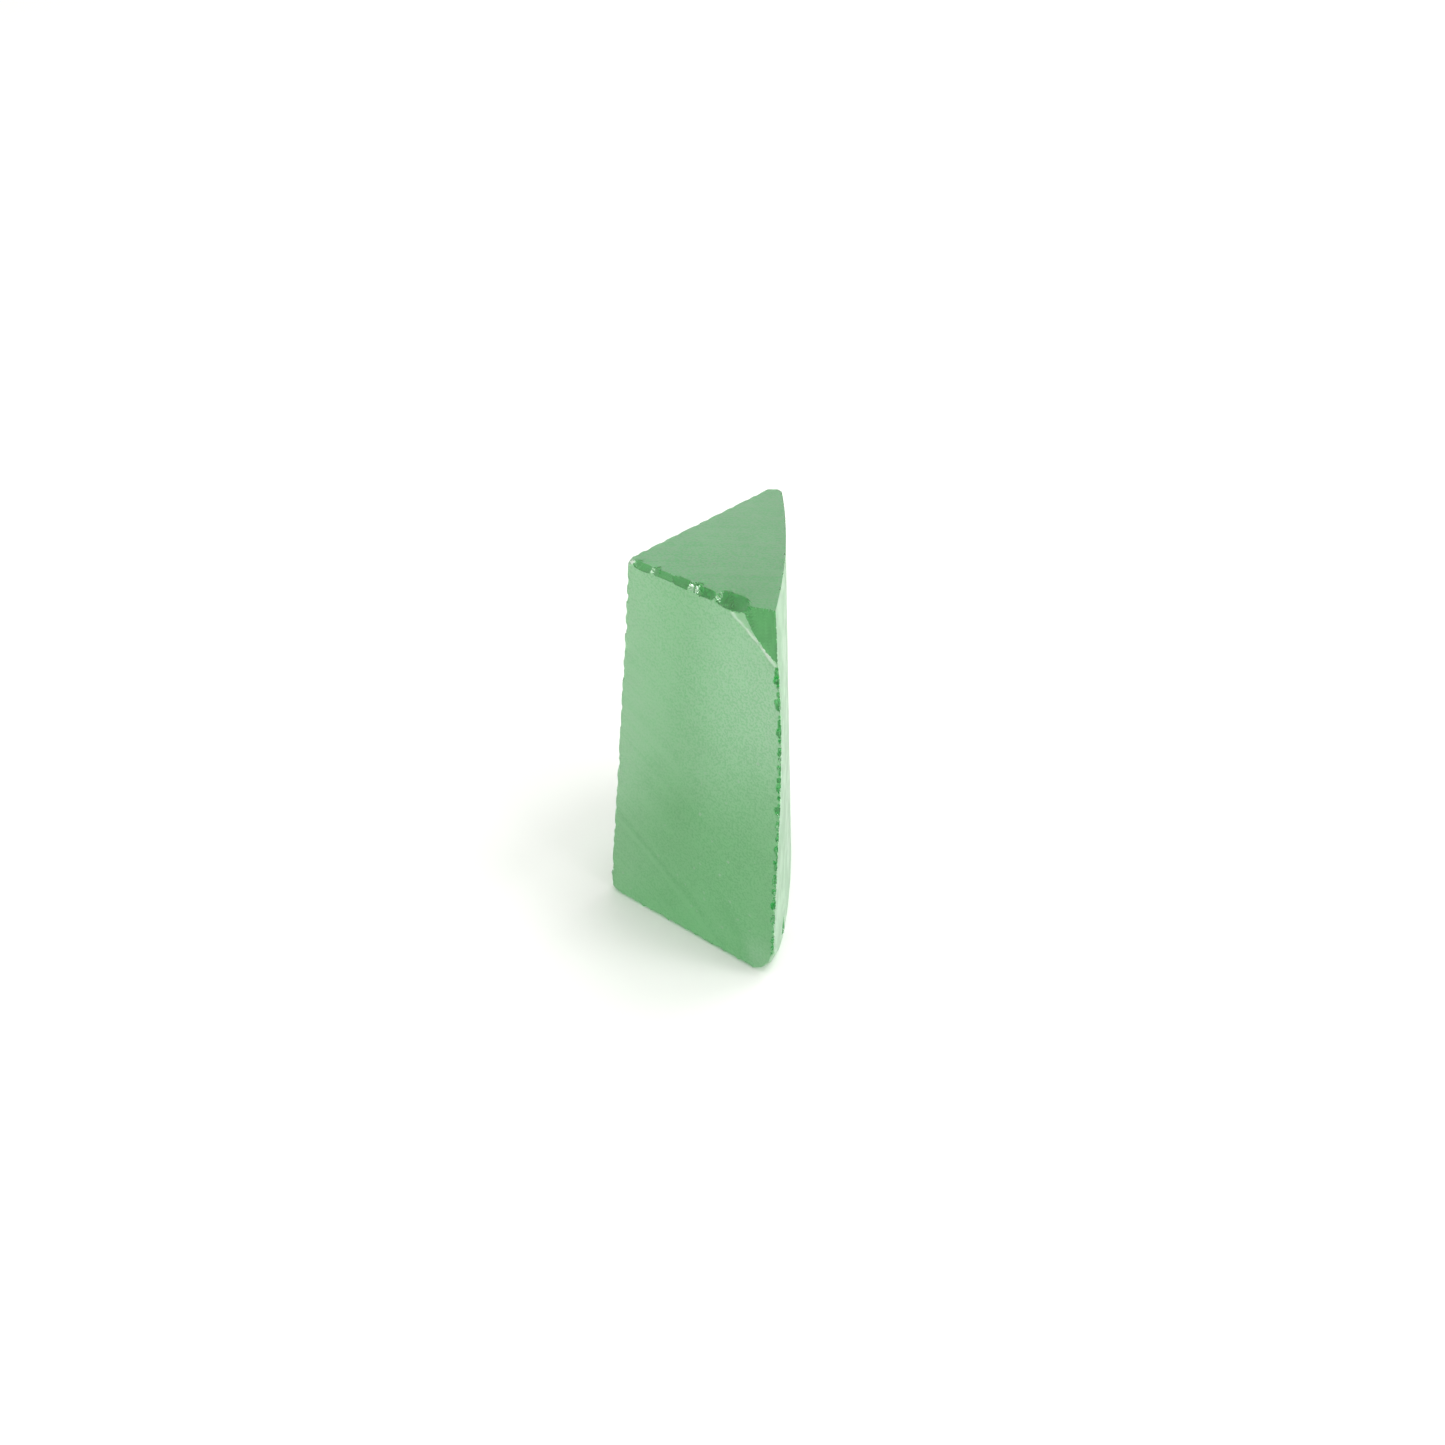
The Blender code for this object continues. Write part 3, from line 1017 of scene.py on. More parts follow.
@dataclass
class CrystalBlock:
    """The block: its worn and chipped surface and its mesh.

    Lengths are in metres, and those of the tip, the foot and the blunted edges have the CAD
    model's values.

    Attributes:
        low: the place of the square corner's foot.
        height: height of the block.
        tip_on_front: length broken off the front edge of the top.
        tip_on_skin: length broken off the skin's edge of the top.
        tip_down: length broken off the upright edge between them.
        tip_hollow: radius of the broken tip's hollow.
        bevel_on_front: length of the shallow bevel beside the tip.
        bevel_down: how far the bevel's foot is below the tip's.
        bevel_depth: how far the bevel goes in where it meets the tip.
        foot_on_front: length worn off the front edge of the base.
        foot_on_skin: length worn off the skin's edge of the base.
        foot_up: length worn off the upright edge between them.
        back_blunting: depth taken off the sharp back edge.
        corner_blunting: depth taken off the square corner's edge.
        corner_wear_low: length taken off each edge at the square corner's foot.
        corner_wear_high: length taken off each edge at its head.
        top_blunting: depth taken off the front edge of the top.
        deep_from: height below which the colour is painted deeper, as painted shade.
        deep_to: height below which it is deepest.
        deep_slope: how much these heights rise along the front, per length.
        frost_everywhere: strength of the frosted grain away from its stronger patches.
        crease: angle between two patches beyond which their edge is sharp.
    """

    low: Array
    height: float
    tip_on_front: float = 2.6 * MM
    tip_on_skin: float = 1.0 * MM
    tip_down: float = 2.75 * MM
    tip_hollow: float = 14.0 * MM
    bevel_on_front: float = 1.7 * MM
    bevel_down: float = 0.15 * MM
    bevel_depth: float = 0.10 * MM
    foot_on_front: float = 1.8 * MM
    foot_on_skin: float = 4.5 * MM
    foot_up: float = 2.4 * MM
    back_blunting: float = 0.95 * MM
    corner_blunting: float = 0.10 * MM
    corner_wear_low: float = 0.55 * MM
    corner_wear_high: float = 0.35 * MM
    top_blunting: float = 0.12 * MM
    deep_from: float = 15.5 * MM
    deep_to: float = 6.5 * MM
    deep_slope: float = 0.40
    frost_everywhere: float = 0.35
    crease: float = radians(24.0)

    def __post_init__(self) -> None:
        """Start from the sharp-edged block."""
        self.sizes = BlockSizes(height=self.height)
        self.block = BlockSurface(self.sizes)

    def _corner_off(self, corner: Array, ends: tuple[Array, Array, Array],
                    shares: tuple[float, float, float]) -> None:
        """Wear a corner off, flat.

        Args:
            corner: the sharp corner.
            ends: a point on each of its three edges.
            shares: shares of the way to these points through which the flat is cut.
        """
        first, second, third = (corner + s * (e - corner) for e, s in zip(ends, shares))
        self.block.cut(Bite.flat(first, second, third, corner, Surface.WORN))

    def _edge_off(self, low: Array, high: Array, facing: Array, depth: float,
                  surface: Surface = Surface.WORN) -> None:
        """Take a flat strip off an edge.

        Args:
            low: one end of the edge.
            high: its other end.
            facing: direction that the strip faces.
            depth: how far it lies under the edge.
            surface: what is left behind.
        """
        edge = unit(high - low)
        out = unit(facing - (facing @ edge) * edge)
        first, second = low - depth * out, high - depth * out
        third = first + np.cross(out, edge) * 10.0 * MM
        self.block.cut(Bite.flat(first, second, third, low + out, surface))

    def _break_tip(self) -> None:
        """The shallow bevel beside the broken tip, and then the tip's hollow facet."""
        b, h = self.block, self.height
        corner = b.front_edge(h)[0]
        on_front = corner - (self.tip_on_front, 0.0, 0.0)
        bevel_end = on_front - (self.bevel_on_front, 0.0, 0.0)
        bevel_foot = b.front_edge(h - self.tip_down - self.bevel_down)[0]
        pushed_in = on_front + (0.0, self.bevel_depth, 0.0)
        b.cut(Bite.flat(bevel_end, bevel_foot, pushed_in, corner, Surface.WORN))
        ends = (on_front, b.skin_point(self.tip_on_skin, h),
                b.front_edge(h - self.tip_down)[0])
        tip = Bite.flat(*ends, corner, Surface.FRACTURE, self.tip_hollow)
        b.cut(replace(tip, seed=ends[2]))

    def _wear_foot(self) -> None:
        """Flats that round the corner of front face, skin and base."""
        b = self.block
        corner = b.front_edge(0.0)[0]
        ends = (corner - (self.foot_on_front, 0.0, 0.0), b.skin_point(self.foot_on_skin, 0.0),
                b.front_edge(self.foot_up)[0])
        for shares in FOOT_FLATS:
            self._corner_off(corner, ends, shares)

    def _blunt_edges(self) -> None:
        """The back edge, the square corner and its ends, and the front edge of the top."""
        b, h = self.block, self.height
        low, high = b.back_edge(0.0)[0], b.back_edge(h)[0]
        for heading, share in BACK_FLATS:
            facing = np.array((cos(radians(heading)), sin(radians(heading)), 0.0))
            self._edge_off(low, high, facing, self.back_blunting * share)
        foot, head = b.corner(0.0), b.corner(h)
        rise = unit(head - foot)
        for corner, climb, wear in ((foot, rise, self.corner_wear_low),
                                    (head, -rise, self.corner_wear_high)):
            ends = (corner - FLANK_OUT * wear, corner - FRONT_OUT * wear,
                    corner + climb * wear)
            for shares in CORNER_FLATS:
                self._corner_off(corner, ends, shares)
        self._edge_off(foot, head, FRONT_OUT + FLANK_OUT, self.corner_blunting)
        self._edge_off(head, b.front_edge(h)[0], FRONT_OUT + UP, self.top_blunting,
                       Surface.RUBBED)

    def _edges(self) -> dict[Edge, tuple[Array, Array, Array]]:
        """The edges that scoops are spread over.

        Returns:
            For each edge, its points and the directions out of its two faces.
        """
        b, h = self.block, self.height
        skin_out = np.array((*b.skin.outward, 0.0))
        foot, head = b.corner(0.0), b.corner(h)
        heights = np.linspace(self.foot_up * 0.8, h - self.tip_down, EDGE_POINTS)
        return {
            Edge.SQUARE_CORNER: (between(foot, head, 0.02, 0.975), FRONT_OUT, FLANK_OUT),
            Edge.FRONT_SKIN: (b.front_edge(heights), FRONT_OUT, skin_out),
            Edge.TOP_FRONT: (between(head, b.front_edge(h)[0]), FRONT_OUT, UP),
            Edge.BEVEL: (BEVEL_LINE.path(), FRONT_OUT, FRONT_OUT),
            Edge.TOP_FLANK: (between(head, b.back_edge(h)[0]), FLANK_OUT, UP),
            Edge.TOP_SKIN: (b.skin_rim(h)[TOP_RIM_CHIPPED], skin_out, UP),
            Edge.BASE_FRONT: (between(foot, b.front_edge(0.0)[0]), FRONT_OUT, -UP),
            Edge.BASE_SKIN: (b.skin_rim(0.0)[BASE_RIM_CHIPPED], skin_out, -UP),
            Edge.BASE_FLANK: (between(foot, b.back_edge(0.0)[0]), FLANK_OUT, -UP),
        }

    def _chip_edges(self) -> None:
        """The nicks of every edge, and the large chips and glints of the top's front edge."""
        edges = self._edges()
        for edge, wear in EDGE_WEAR:
            for bite in wear.bites(*edges[edge]):
                self.block.cut(bite)
        for mark in (*TOP_CHIPS, *GLINTS):
            self.block.cut(mark.bite(self.height))

    def _chip_foot(self) -> None:
        """Two single chips: on the front edge of the base, and low on the skin."""
        b = self.block
        foot, near = b.corner(0.0), b.front_edge(0.0)[0]
        skin_out = np.array((*b.skin.outward, 0.0))
        turned_forward = np.array((0.39, -0.46, 0.18))
        on_front = foot + 0.06 * (near - foot)
        on_skin = b.skin_point(4.6 * MM, 0.60 * MM) - skin_out * 0.12 * MM
        for middle, normal, along, length, across in (
            (on_front, FRONT_OUT - UP, near - foot, 0.60 * MM, 0.36 * MM),
            (on_skin, skin_out + turned_forward, UP, 1.10 * MM, 0.90 * MM),
        ):
            # Both chips are painted darker, as painted shade.
            b.cut(Bite.scoop(middle, normal, along, length, across, 0.09 * MM, shade=1.0))

    def _shade_and_tint(self) -> None:
        """Paint the colour deeper towards the base, as painted shade, and in a few clouds.

        With the height lowered by a slope across the front, the depth runs from nought at
        deep_from to one at deep_to as 3 t^2 - 2 t^3.
        """
        b = self.block
        across = b.points[..., 0] - self.sizes.front_width / 2.0
        height = b.points[..., 2] - self.deep_slope * across
        t = np.clip((self.deep_from - height) / (self.deep_from - self.deep_to), 0.0, 1.0)
        # Painted shade: the colour is painted deeper towards the base.
        b.deep += t * t * (3.0 - 2.0 * t)
        for cloud in CLOUDS:
            b.deep += cloud.share(b.points)
        b.frost += self.frost_everywhere
        for cloud in FROSTS:
            b.frost += cloud.share(b.points)

    def shape(self) -> None:
        """Wear, break and chip the block, in the order in which it happened to it."""
        self._blunt_edges()
        self._break_tip()
        self._wear_foot()
        for streak in STREAKS:
            self.block.streak(streak)
        self._chip_edges()
        self._chip_foot()
        self._shade_and_tint()

    @staticmethod
    def _faces(rows: int, columns: int) -> tuple[Array, Array]:
        """Four-sided patches from row to row, and a fan of triangles over each pole.

        The poles are the two points after the last row: the base's and then the top's.

        Args:
            rows: number of rows.
            columns: number of points in a row, which closes on itself.

        Returns:
            The points of all faces one after another, and the number of points of each.
        """
        index = np.arange(rows * columns).reshape(rows, columns)
        right = np.roll(index, -1, axis=1)
        quads = np.stack((index[:-1], right[:-1], right[1:], index[1:]), axis=-1)
        base, top = np.full(columns, rows * columns), np.full(columns, rows * columns + 1)
        under = np.stack((right[0], index[0], base), axis=-1)
        over = np.stack((index[-1], right[-1], top), axis=-1)
        points = np.concatenate((quads.ravel(), under.ravel(), over.ravel()))
        counts = np.concatenate((np.full(quads.size // 4, 4), np.full(2 * columns, 3)))
        return points.astype(np.int32), counts.astype(np.int32)

    def mesh(self, name: str) -> bpy.types.Object:
        """Put the surface into a mesh, with its finishes' slots and its own attributes.

        Args:
            name: name of the piece.

        Returns:
            The piece, with its place in its mesh.
        """
        b = self.block
        rows, columns, _ = b.points.shape
        vertices = np.concatenate((b.points.reshape(-1, 3), b.base_pole[None],
                                   b.top_pole[None]))
        points, counts = self._faces(rows, columns)
        surface = np.concatenate((b.surface.ravel(),
                                  np.full(2 * columns, Surface.CROSS_SAWN.value)))
        side = np.concatenate((b.side.ravel(), np.full(columns, Side.BASE.value),
                               np.full(columns, Side.TOP.value)))
        starts = np.concatenate(([0], np.cumsum(counts)[:-1]))
        mesh = bpy.data.meshes.new(name)
        mesh.vertices.add(len(vertices))
        mesh.vertices.foreach_set("co", (vertices + self.low).ravel())
        mesh.loops.add(len(points))
        mesh.loops.foreach_set("vertex_index", points)
        mesh.polygons.add(len(counts))
        mesh.polygons.foreach_set("loop_start", starts.astype(np.int32))
        mesh.polygons.foreach_set("material_index", surface.astype(np.int32))
        mesh.update(calc_edges=True)
        mesh.validate()
        self._saw_map(mesh, vertices[points], np.repeat(side, counts))
        self._attributes(mesh)
        mesh.shade_smooth()
        mesh.set_sharp_from_angle(angle=self.crease)
        piece = bpy.data.objects.new(name, mesh)
        bpy.context.scene.collection.objects.link(piece)
        return piece

    def _attributes(self, mesh: bpy.types.Mesh) -> None:
        """Write ripple (in millimetres), deep, rub and frost; a pole has its row's mean.

        Args:
            mesh: the block's mesh.
        """
        b = self.block
        for label, values in (("ripple", b.ripple / MM), ("deep", b.deep), ("rub", b.rub),
                              ("frost", b.frost)):
            values = np.concatenate((values.ravel(), (values[0].mean(), values[-1].mean())))
            mesh.attributes.new(label, "FLOAT", "POINT").data.foreach_set(
                "value", values.astype(np.float32))

    def _saw_map(self, mesh: bpy.types.Mesh, corners: Array, side: Array) -> None:
        """Coordinates along and across the saw's strokes on each face, in millimetres.

        Each face has one direction of stroke; the first coordinate is the distance along it
        and the second the distance square to it, in the face.

        Args:
            mesh: the block's mesh.
            corners: the place of each face corner.
            side: the Side of each face corner.
        """
        strokes = {**STROKES, Side.SKIN: ((*self.block.skin.along, 0.0), UP)}
        saw = np.zeros((len(corners), 2))
        for name, axes in strokes.items():
            here = side == name.value
            saw[here] = corners[here] @ np.array(axes).T / MM
        layer = mesh.uv_layers.new(name="saw")
        layer.uv.foreach_set("vector", saw.astype(np.float32).ravel())


Socket = bpy.types.NodeSocket
Colour = tuple[float, float, float, float]
FLOAT, VECTOR = "NodeSocketFloat", "NodeSocketVector"


class Nodes:
    """A node tree with short ways to add and join its nodes."""

    def __init__(self, tree: bpy.types.NodeTree) -> None:
        """Wrap a tree.

        Args:
            tree: the node tree.
        """
        self.tree = tree

    def add(self, kind: str, settings: dict | None = None, **values: object) -> bpy.types.Node:
        """Add a node.

        Args:
            kind: type of the node, without its prefix.
            settings: the node's own options.
            values: what goes into its sockets, by name with underscores for spaces, or by
                number after an n; a socket is linked and anything else is set.

        Returns:
            The node.
        """
        node = self.tree.nodes.new(kind if kind.startswith("Node") else "ShaderNode" + kind)
        for option, value in (settings or {}).items():
            setattr(node, option, value)
        for key, value in values.items():
            numbered = key[0] == "n" and key[1:].isdigit()
            socket = node.inputs[int(key[1:]) if numbered else key.replace("_", " ")]
            if isinstance(value, Socket):
                self.tree.links.new(value, socket)
            else:
                socket.default_value = value
        return node

    def math(self, operation: str, *values: object) -> Socket:
        """A sum on one to three numbers or sockets."""
        named = {f"n{i}": value for i, value in enumerate(values)}
        return self.add("Math", {"operation": operation}, **named).outputs[0]

    def range(self, value: Socket, low: Socket | float, high: float, to_low: float = 0.0,
              to_high: float = 1.0) -> Socket:
        """A value carried from one range to another, smoothly and held at its ends.

        Args:
            value: the value.
            low: where the range begins.
            high: where it ends; below its beginning, the result is turned round.
            to_low: what the beginning becomes.
            to_high: what the end becomes.

        Returns:
            The value in its new range.
        """
        node = self.add("MapRange", {"interpolation_type": "SMOOTHSTEP"}, n0=value, n1=low,
                        n2=high, n3=to_low, n4=to_high)
        return node.outputs[0]

    def noise(self, vector: Socket, scale: Socket | float, detail: float = 2.0,
              roughness: float = 0.5) -> Socket:
        """A noise between 0 and 1.

        Args:
            vector: place at which it is read.
            scale: how fine it is.
            detail: number of finer layers.
            roughness: how strong each finer layer is against the one before.

        Returns:
            The noise.
        """
        node = self.add("TexNoise", None, Vector=vector, Scale=scale, Detail=detail,
                        Roughness=roughness)
        return node.outputs["Fac"]

    def mix(self, share: Socket, first: Socket | Colour, second: Socket | Colour,
            blend: str = "MIX") -> Socket:
        """Two colours mixed, or joined in another way.

        Args:
            share: share of the second colour.
            first: the first colour.
            second: the second colour.
            blend: how they are joined.

        Returns:
            The colour.
        """
        node = self.add("Mix", {"data_type": "RGBA", "blend_type": blend})
        for socket, value in ((node.inputs[0], share), (node.inputs[6], first),
                              (node.inputs[7], second)):
            if isinstance(value, Socket):
                self.tree.links.new(value, socket)
            else:
                socket.default_value = value
        return node.outputs[2]

    def attribute(self, name: str) -> Socket:
        """A number that the mesh itself carries."""
        return self.add("Attribute", {"attribute_name": name}).outputs["Fac"]

    def place(self) -> Socket:
        """The place on the piece, in metres."""
        return self.add("TexCoord").outputs["Object"]

    def saw_map(self) -> Socket:
        """The place along and across the saw's strokes, in millimetres."""
        return self.add("UVMap", {"uv_map": "saw"}).outputs[0]

    def bump(self, height: Socket, relief: float) -> Socket:
        """A normal for a surface of some height, as high as the relief."""
        return self.add("Bump", None, Strength=1.0, Distance=relief, Height=height).outputs[0]

    def dress(self, shader: bpy.types.Node, **values: Socket) -> None:
        """Join values to a shader's sockets, by name with underscores for spaces."""
        for name, value in values.items():
            self.tree.links.new(value, shader.inputs[name.replace("_", " ")])


class NodeGroup:
    """A shader node group with named numbers going in and values coming out."""

    def __init__(self, name: str, takes: dict[str, str], gives: tuple[str, ...]) -> None:
        """Make the group's sockets.

        Args:
            name: name of the group.
            takes: name and kind of each input.
            gives: name of each output, all of them numbers.
        """
        self.tree = bpy.data.node_groups.new(name, "ShaderNodeTree")
        for socket, kind in takes.items():
            self.tree.interface.new_socket(socket, in_out="INPUT", socket_type=kind)
        for socket in gives:
            self.tree.interface.new_socket(socket, in_out="OUTPUT",
                                           socket_type="NodeSocketFloat")
        self.nodes = Nodes(self.tree)
        self.inputs = self.nodes.add("NodeGroupInput").outputs
        self._out = self.nodes.add("NodeGroupOutput")

    def give(self, name: str, value: Socket) -> None:
        """Join a value to one of the group's outputs."""
        self.tree.links.new(value, self._out.inputs[name])

    def place(self, nodes: Nodes, **values: object) -> bpy.types.Node:
        """Put the group into a material with its own values."""
        return nodes.add("Group", {"node_tree": self.tree}, **values)


@dataclass(frozen=True)
class SawMarks:
    """Strokes of a saw: bent lines of uneven width, from noise stretched along the stroke.

    The distance across the stroke gets the bend times the square of the distance along it
    added, and is divided by the pitch; only a small share of the distance along counts.

    Attributes:
        fine_run: share of the distance along that counts in the fine lines.
        broad_run: share of it that counts in the broad bands.
        broad_pitch: width of a fine line over that of a broad band.
        broad_height: height of the broad bands over that of the fine lines.
        contrast: noise between which the tone runs from 0 to 1.
    """

    fine_run: float = 0.10
    broad_run: float = 0.05
    broad_pitch: float = 0.21
    broad_height: float = 1.5
    contrast: tuple[float, float] = (0.35, 0.65)

    def group(self) -> NodeGroup:
        """The strokes as a node group.

        Returns:
            A group that takes the saw's coordinates and the pitch in millimetres and the
            bend, and gives Height and Tone.
        """
        group = NodeGroup("saw_marks", {"Vector": VECTOR, "Pitch": FLOAT, "Bend": FLOAT},
                          ("Height", "Tone"))
        n = group.nodes
        parts = n.add("SeparateXYZ", None, Vector=group.inputs["Vector"]).outputs
        along, across = parts[0], parts[1]
        square = n.math("MULTIPLY", along, along)
        bent = n.math("MULTIPLY_ADD", square, group.inputs["Bend"], across)
        lines = n.math("DIVIDE", bent, group.inputs["Pitch"])
        fine_place = n.add("CombineXYZ", None, X=n.math("MULTIPLY", along, self.fine_run),
                           Y=lines)
        broad_place = n.add("CombineXYZ", None, X=n.math("MULTIPLY", along, self.broad_run),
                            Y=n.math("MULTIPLY", lines, self.broad_pitch))
        fine = n.noise(fine_place.outputs[0], 1.0, 3.0, 0.6)
        broad = n.noise(broad_place.outputs[0], 1.0, 2.0)
        mean = n.math("MULTIPLY_ADD", fine, 0.5, n.math("MULTIPLY", broad, 0.5))
        group.give("Height", n.math("MULTIPLY_ADD", broad, self.broad_height, fine))
        group.give("Tone", n.range(mean, *self.contrast))
        return group


@dataclass(frozen=True)
class Frost:
    """The grain of a sawn crystal: fine pits, and here and there a spot that glitters.

    Attributes:
        patch_scale: size of a grain over that of a patch.
        cell_scale: size of a grain over that of the cell in which a spot may glitter.
        spot: radius of the largest spot over its cell's size.
        spot_core: radius within which a spot is at its brightest.
        patch_luck: how much likelier a spot glitters in a bright patch.
        rarity: luck beyond which a spot glitters, where most have less than one.
        speckle_contrast: grain between which Speckle runs from 0 to 1.
        patch_contrast: noise between which Patches runs from 0 to 1.
    """

    patch_scale: float = 0.055
    cell_scale: float = 0.9
    spot: float = 0.5
    spot_core: float = 0.05
    patch_luck: float = 0.12
    rarity: float = 1.02
    speckle_contrast: tuple[float, float] = (0.36, 0.64)
    patch_contrast: tuple[float, float] = (0.33, 0.67)

    def group(self) -> NodeGroup:
        """The grain as a node group.

        Returns:
            A group that takes Object coordinates and the grains' size in metres, and gives
            Grain, Speckle, Patches and Sparkle.
        """
        group = NodeGroup("frost", {"Vector": VECTOR, "Size": FLOAT},
                          ("Grain", "Speckle", "Patches", "Sparkle"))
        n = group.nodes
        scale = n.math("DIVIDE", 1.0, group.inputs["Size"])
        vector = group.inputs["Vector"]
        grain = n.noise(vector, scale, 3.0, 0.65)
        patches = n.noise(vector, n.math("MULTIPLY", scale, self.patch_scale), 3.0, 0.6)
        cells = n.add("TexVoronoi", None, Vector=vector,
                      Scale=n.math("MULTIPLY", scale, self.cell_scale))
        chance = n.add("SeparateXYZ", None, Vector=cells.outputs["Color"]).outputs
        near = n.range(cells.outputs["Distance"], n.math("MULTIPLY", chance[1], self.spot),
                       self.spot_core)
        luck = n.math("MULTIPLY_ADD", patches, self.patch_luck, chance[0])
        rare = n.math("GREATER_THAN", luck, self.rarity)
        group.give("Grain", grain)
        group.give("Speckle", n.range(grain, *self.speckle_contrast))
        group.give("Patches", n.range(patches, *self.patch_contrast))
        group.give("Sparkle", n.math("MULTIPLY", near, rare))
        return group


@dataclass(frozen=True)
class ShellRipples:
    """Ripples of a shell-like fracture: rings round the place from which it spread.

    The height is the sine of the distance over the pitch, with the distance made uneven by
    one noise and the height by another.

    Attributes:
        wander_scale: how fine the rings' unevenness is, per metre.
        wander: how far the rings are out of round, in millimetres.
        pitting_scale: how fine the height's unevenness is, per metre.
        pitting: its height over that of the rings.
    """

    wander_scale: float = 900.0
    wander: float = 0.35
    pitting_scale: float = 2600.0
    pitting: float = 0.8

    def group(self) -> NodeGroup:
        """The ripples as a node group.

        Returns:
            A group that takes the distance from that place in millimetres, Object
            coordinates and the rings' pitch in millimetres, and gives Height.
        """
        group = NodeGroup("shell_ripples",
                          {"Distance": FLOAT, "Vector": VECTOR, "Pitch": FLOAT}, ("Height",))
        n = group.nodes
        uneven = n.noise(group.inputs["Vector"], self.wander_scale, 2.0)
        away = n.math("MULTIPLY_ADD", uneven, self.wander, group.inputs["Distance"])
        turns = n.math("DIVIDE", away, group.inputs["Pitch"])
        rings = n.math("SINE", n.math("MULTIPLY", turns, 2.0 * pi))
        pits = n.noise(group.inputs["Vector"], self.pitting_scale, 1.0)
        group.give("Height", n.math("MULTIPLY_ADD", pits, self.pitting, rings))
        return group


@dataclass(frozen=True)
class Crystal:
    """The clear green crystal itself, the same behind every finish.

    Attributes:
        index: refractive index.
        colour: share of light that a length of 1 / density lets through, by colour.
        density: how strongly it takes light away, per metre.
        deep: what the surface's colour is multiplied with where it is painted deepest, partly
            painted shade.
    """

    index: float = 1.77
    colour: Colour = (0.180, 0.930, 0.360, 1.0)
    density: float = 35.0
    deep: Colour = (0.46, 0.78, 0.50, 1.0)

    def material(self, name: str, roughness: float, transmission: float,
                 tint: Colour) -> tuple[bpy.types.Material, Nodes, bpy.types.Node]:
        """A material of this crystal with a plain surface.

        Args:
            name: name of the material.
            roughness: roughness of its surface.
            transmission: share of light that goes in rather than being scattered.
            tint: colour of the surface.

        Returns:
            The material, its nodes and its surface shader.
        """
        material = bpy.data.materials.new(name)
        material.use_nodes = True
        nodes = Nodes(material.node_tree)
        shader = material.node_tree.nodes["Principled BSDF"]
        shader.inputs["Base Color"].default_value = tint
        shader.inputs["Metallic"].default_value = 0.0
        shader.inputs["Roughness"].default_value = roughness
        shader.inputs["IOR"].default_value = self.index
        shader.inputs["Transmission Weight"].default_value = transmission
        inside = nodes.add("VolumeAbsorption", None, Color=self.colour, Density=self.density)
        output = material.node_tree.nodes["Material Output"]
        material.node_tree.links.new(inside.outputs[0], output.inputs["Volume"])
        return material, nodes, shader

    def deepen(self, nodes: Nodes, colour: Socket, deep: Colour | None = None) -> Socket:
        """A surface colour made deeper as the block's own attribute says, partly as painted shade.

        Args:
            nodes: the material's nodes.
            colour: the surface colour.
            deep: what it is multiplied with at its deepest, if not the crystal's own.

        Returns:
            The colour.
        """
        return nodes.mix(nodes.attribute("deep"), colour, deep or self.deep, "MULTIPLY")


@dataclass(frozen=True)
class SawnFinish:
    """A face left by the saw: frosted, with fine strokes and grains that glitter.

    Attributes:
        name: name of the material.
        roughness: roughness of the face.
        transmission: share of light that goes in.
        tint: colour in the deeper strokes and grains.
        pale: colour in the paler ones.
        pitch: distance between two strokes, in millimetres.
        bend: how far the strokes bend, per millimetre squared.
        grain: size of a grain.
        relief: height of the strokes and grains.
        grain_height: height of the grains over that of the strokes.
        strokes: how much the strokes count in the colour.
        patches: how much the grain's patches count in it.
        speckles: how much the single grains count in it, where the frost is strongest.
        duller: roughness added where the grain is lowest.
        glossier: roughness taken away where it is highest.
        sparkle_roughness: roughness of a grain that glitters.
    """

    name: str = "sawn_crystal"
    roughness: float = 0.46
    transmission: float = 0.95
    tint: Colour = (0.64, 0.80, 0.67, 1.0)
    pale: Colour = (1.0, 1.0, 0.98, 1.0)
    pitch: float = 0.16
    bend: float = 0.004
    grain: float = 0.15 * MM
    relief: float = 0.008 * MM
    grain_height: float = 1.6
    strokes: float = 0.40
    patches: float = 0.32
    speckles: float = 2.0
    duller: float = 0.10
    glossier: float = 0.08
    sparkle_roughness: float = 0.15

    def material(self, crystal: Crystal, saw: NodeGroup, grains: NodeGroup) -> bpy.types.Material:
        """The finish as a material.

        The tone between the two colours is a half, with the strokes, the patches, the
        grains and the rubbing each added to it or taken from it.

        Args:
            crystal: what lies behind the surface.
            saw: the saw's strokes.
            grains: the frosted grain.

        Returns:
            The material.
        """
        material, n, shader = crystal.material(self.name, self.roughness, self.transmission,
                                               self.tint)
        strokes = saw.place(n, Vector=n.saw_map(), Pitch=self.pitch, Bend=self.bend).outputs
        frosting = grains.place(n, Vector=n.place(), Size=self.grain).outputs
        frost = n.attribute("frost")
        patches = n.math("MULTIPLY", frosting["Patches"], self.patches)
        tone = n.math("MULTIPLY_ADD", strokes["Tone"], self.strokes, patches)
        speckle = n.math("MULTIPLY", n.math("SUBTRACT", frosting["Speckle"], 0.5), frost)
        rest = n.math("ADD", n.attribute("rub"), (1.0 - self.strokes) / 2.0)
        tone = n.math("ADD", n.math("MULTIPLY_ADD", speckle, self.speckles, tone), rest)
        colour = crystal.deepen(n, n.mix(tone, self.tint, self.pale))
        # The glittering grains are painted pale in the base colour, as painted highlights, and also
        # get a glossy coat.
        sparkle = n.math("MULTIPLY", frosting["Sparkle"], frost)
        rough = n.range(frosting["Grain"], 0.25, 0.75, self.roughness + self.duller,
                        self.roughness - self.glossier)
        height = n.math("MULTIPLY_ADD", frosting["Grain"], self.grain_height,
                        strokes["Height"])
        shader.inputs["Coat Roughness"].default_value = self.sparkle_roughness
        n.dress(shader, Base_Color=n.mix(sparkle, colour, self.pale), Roughness=rough,
                Coat_Weight=sparkle, Normal=n.bump(height, self.relief))
        return material


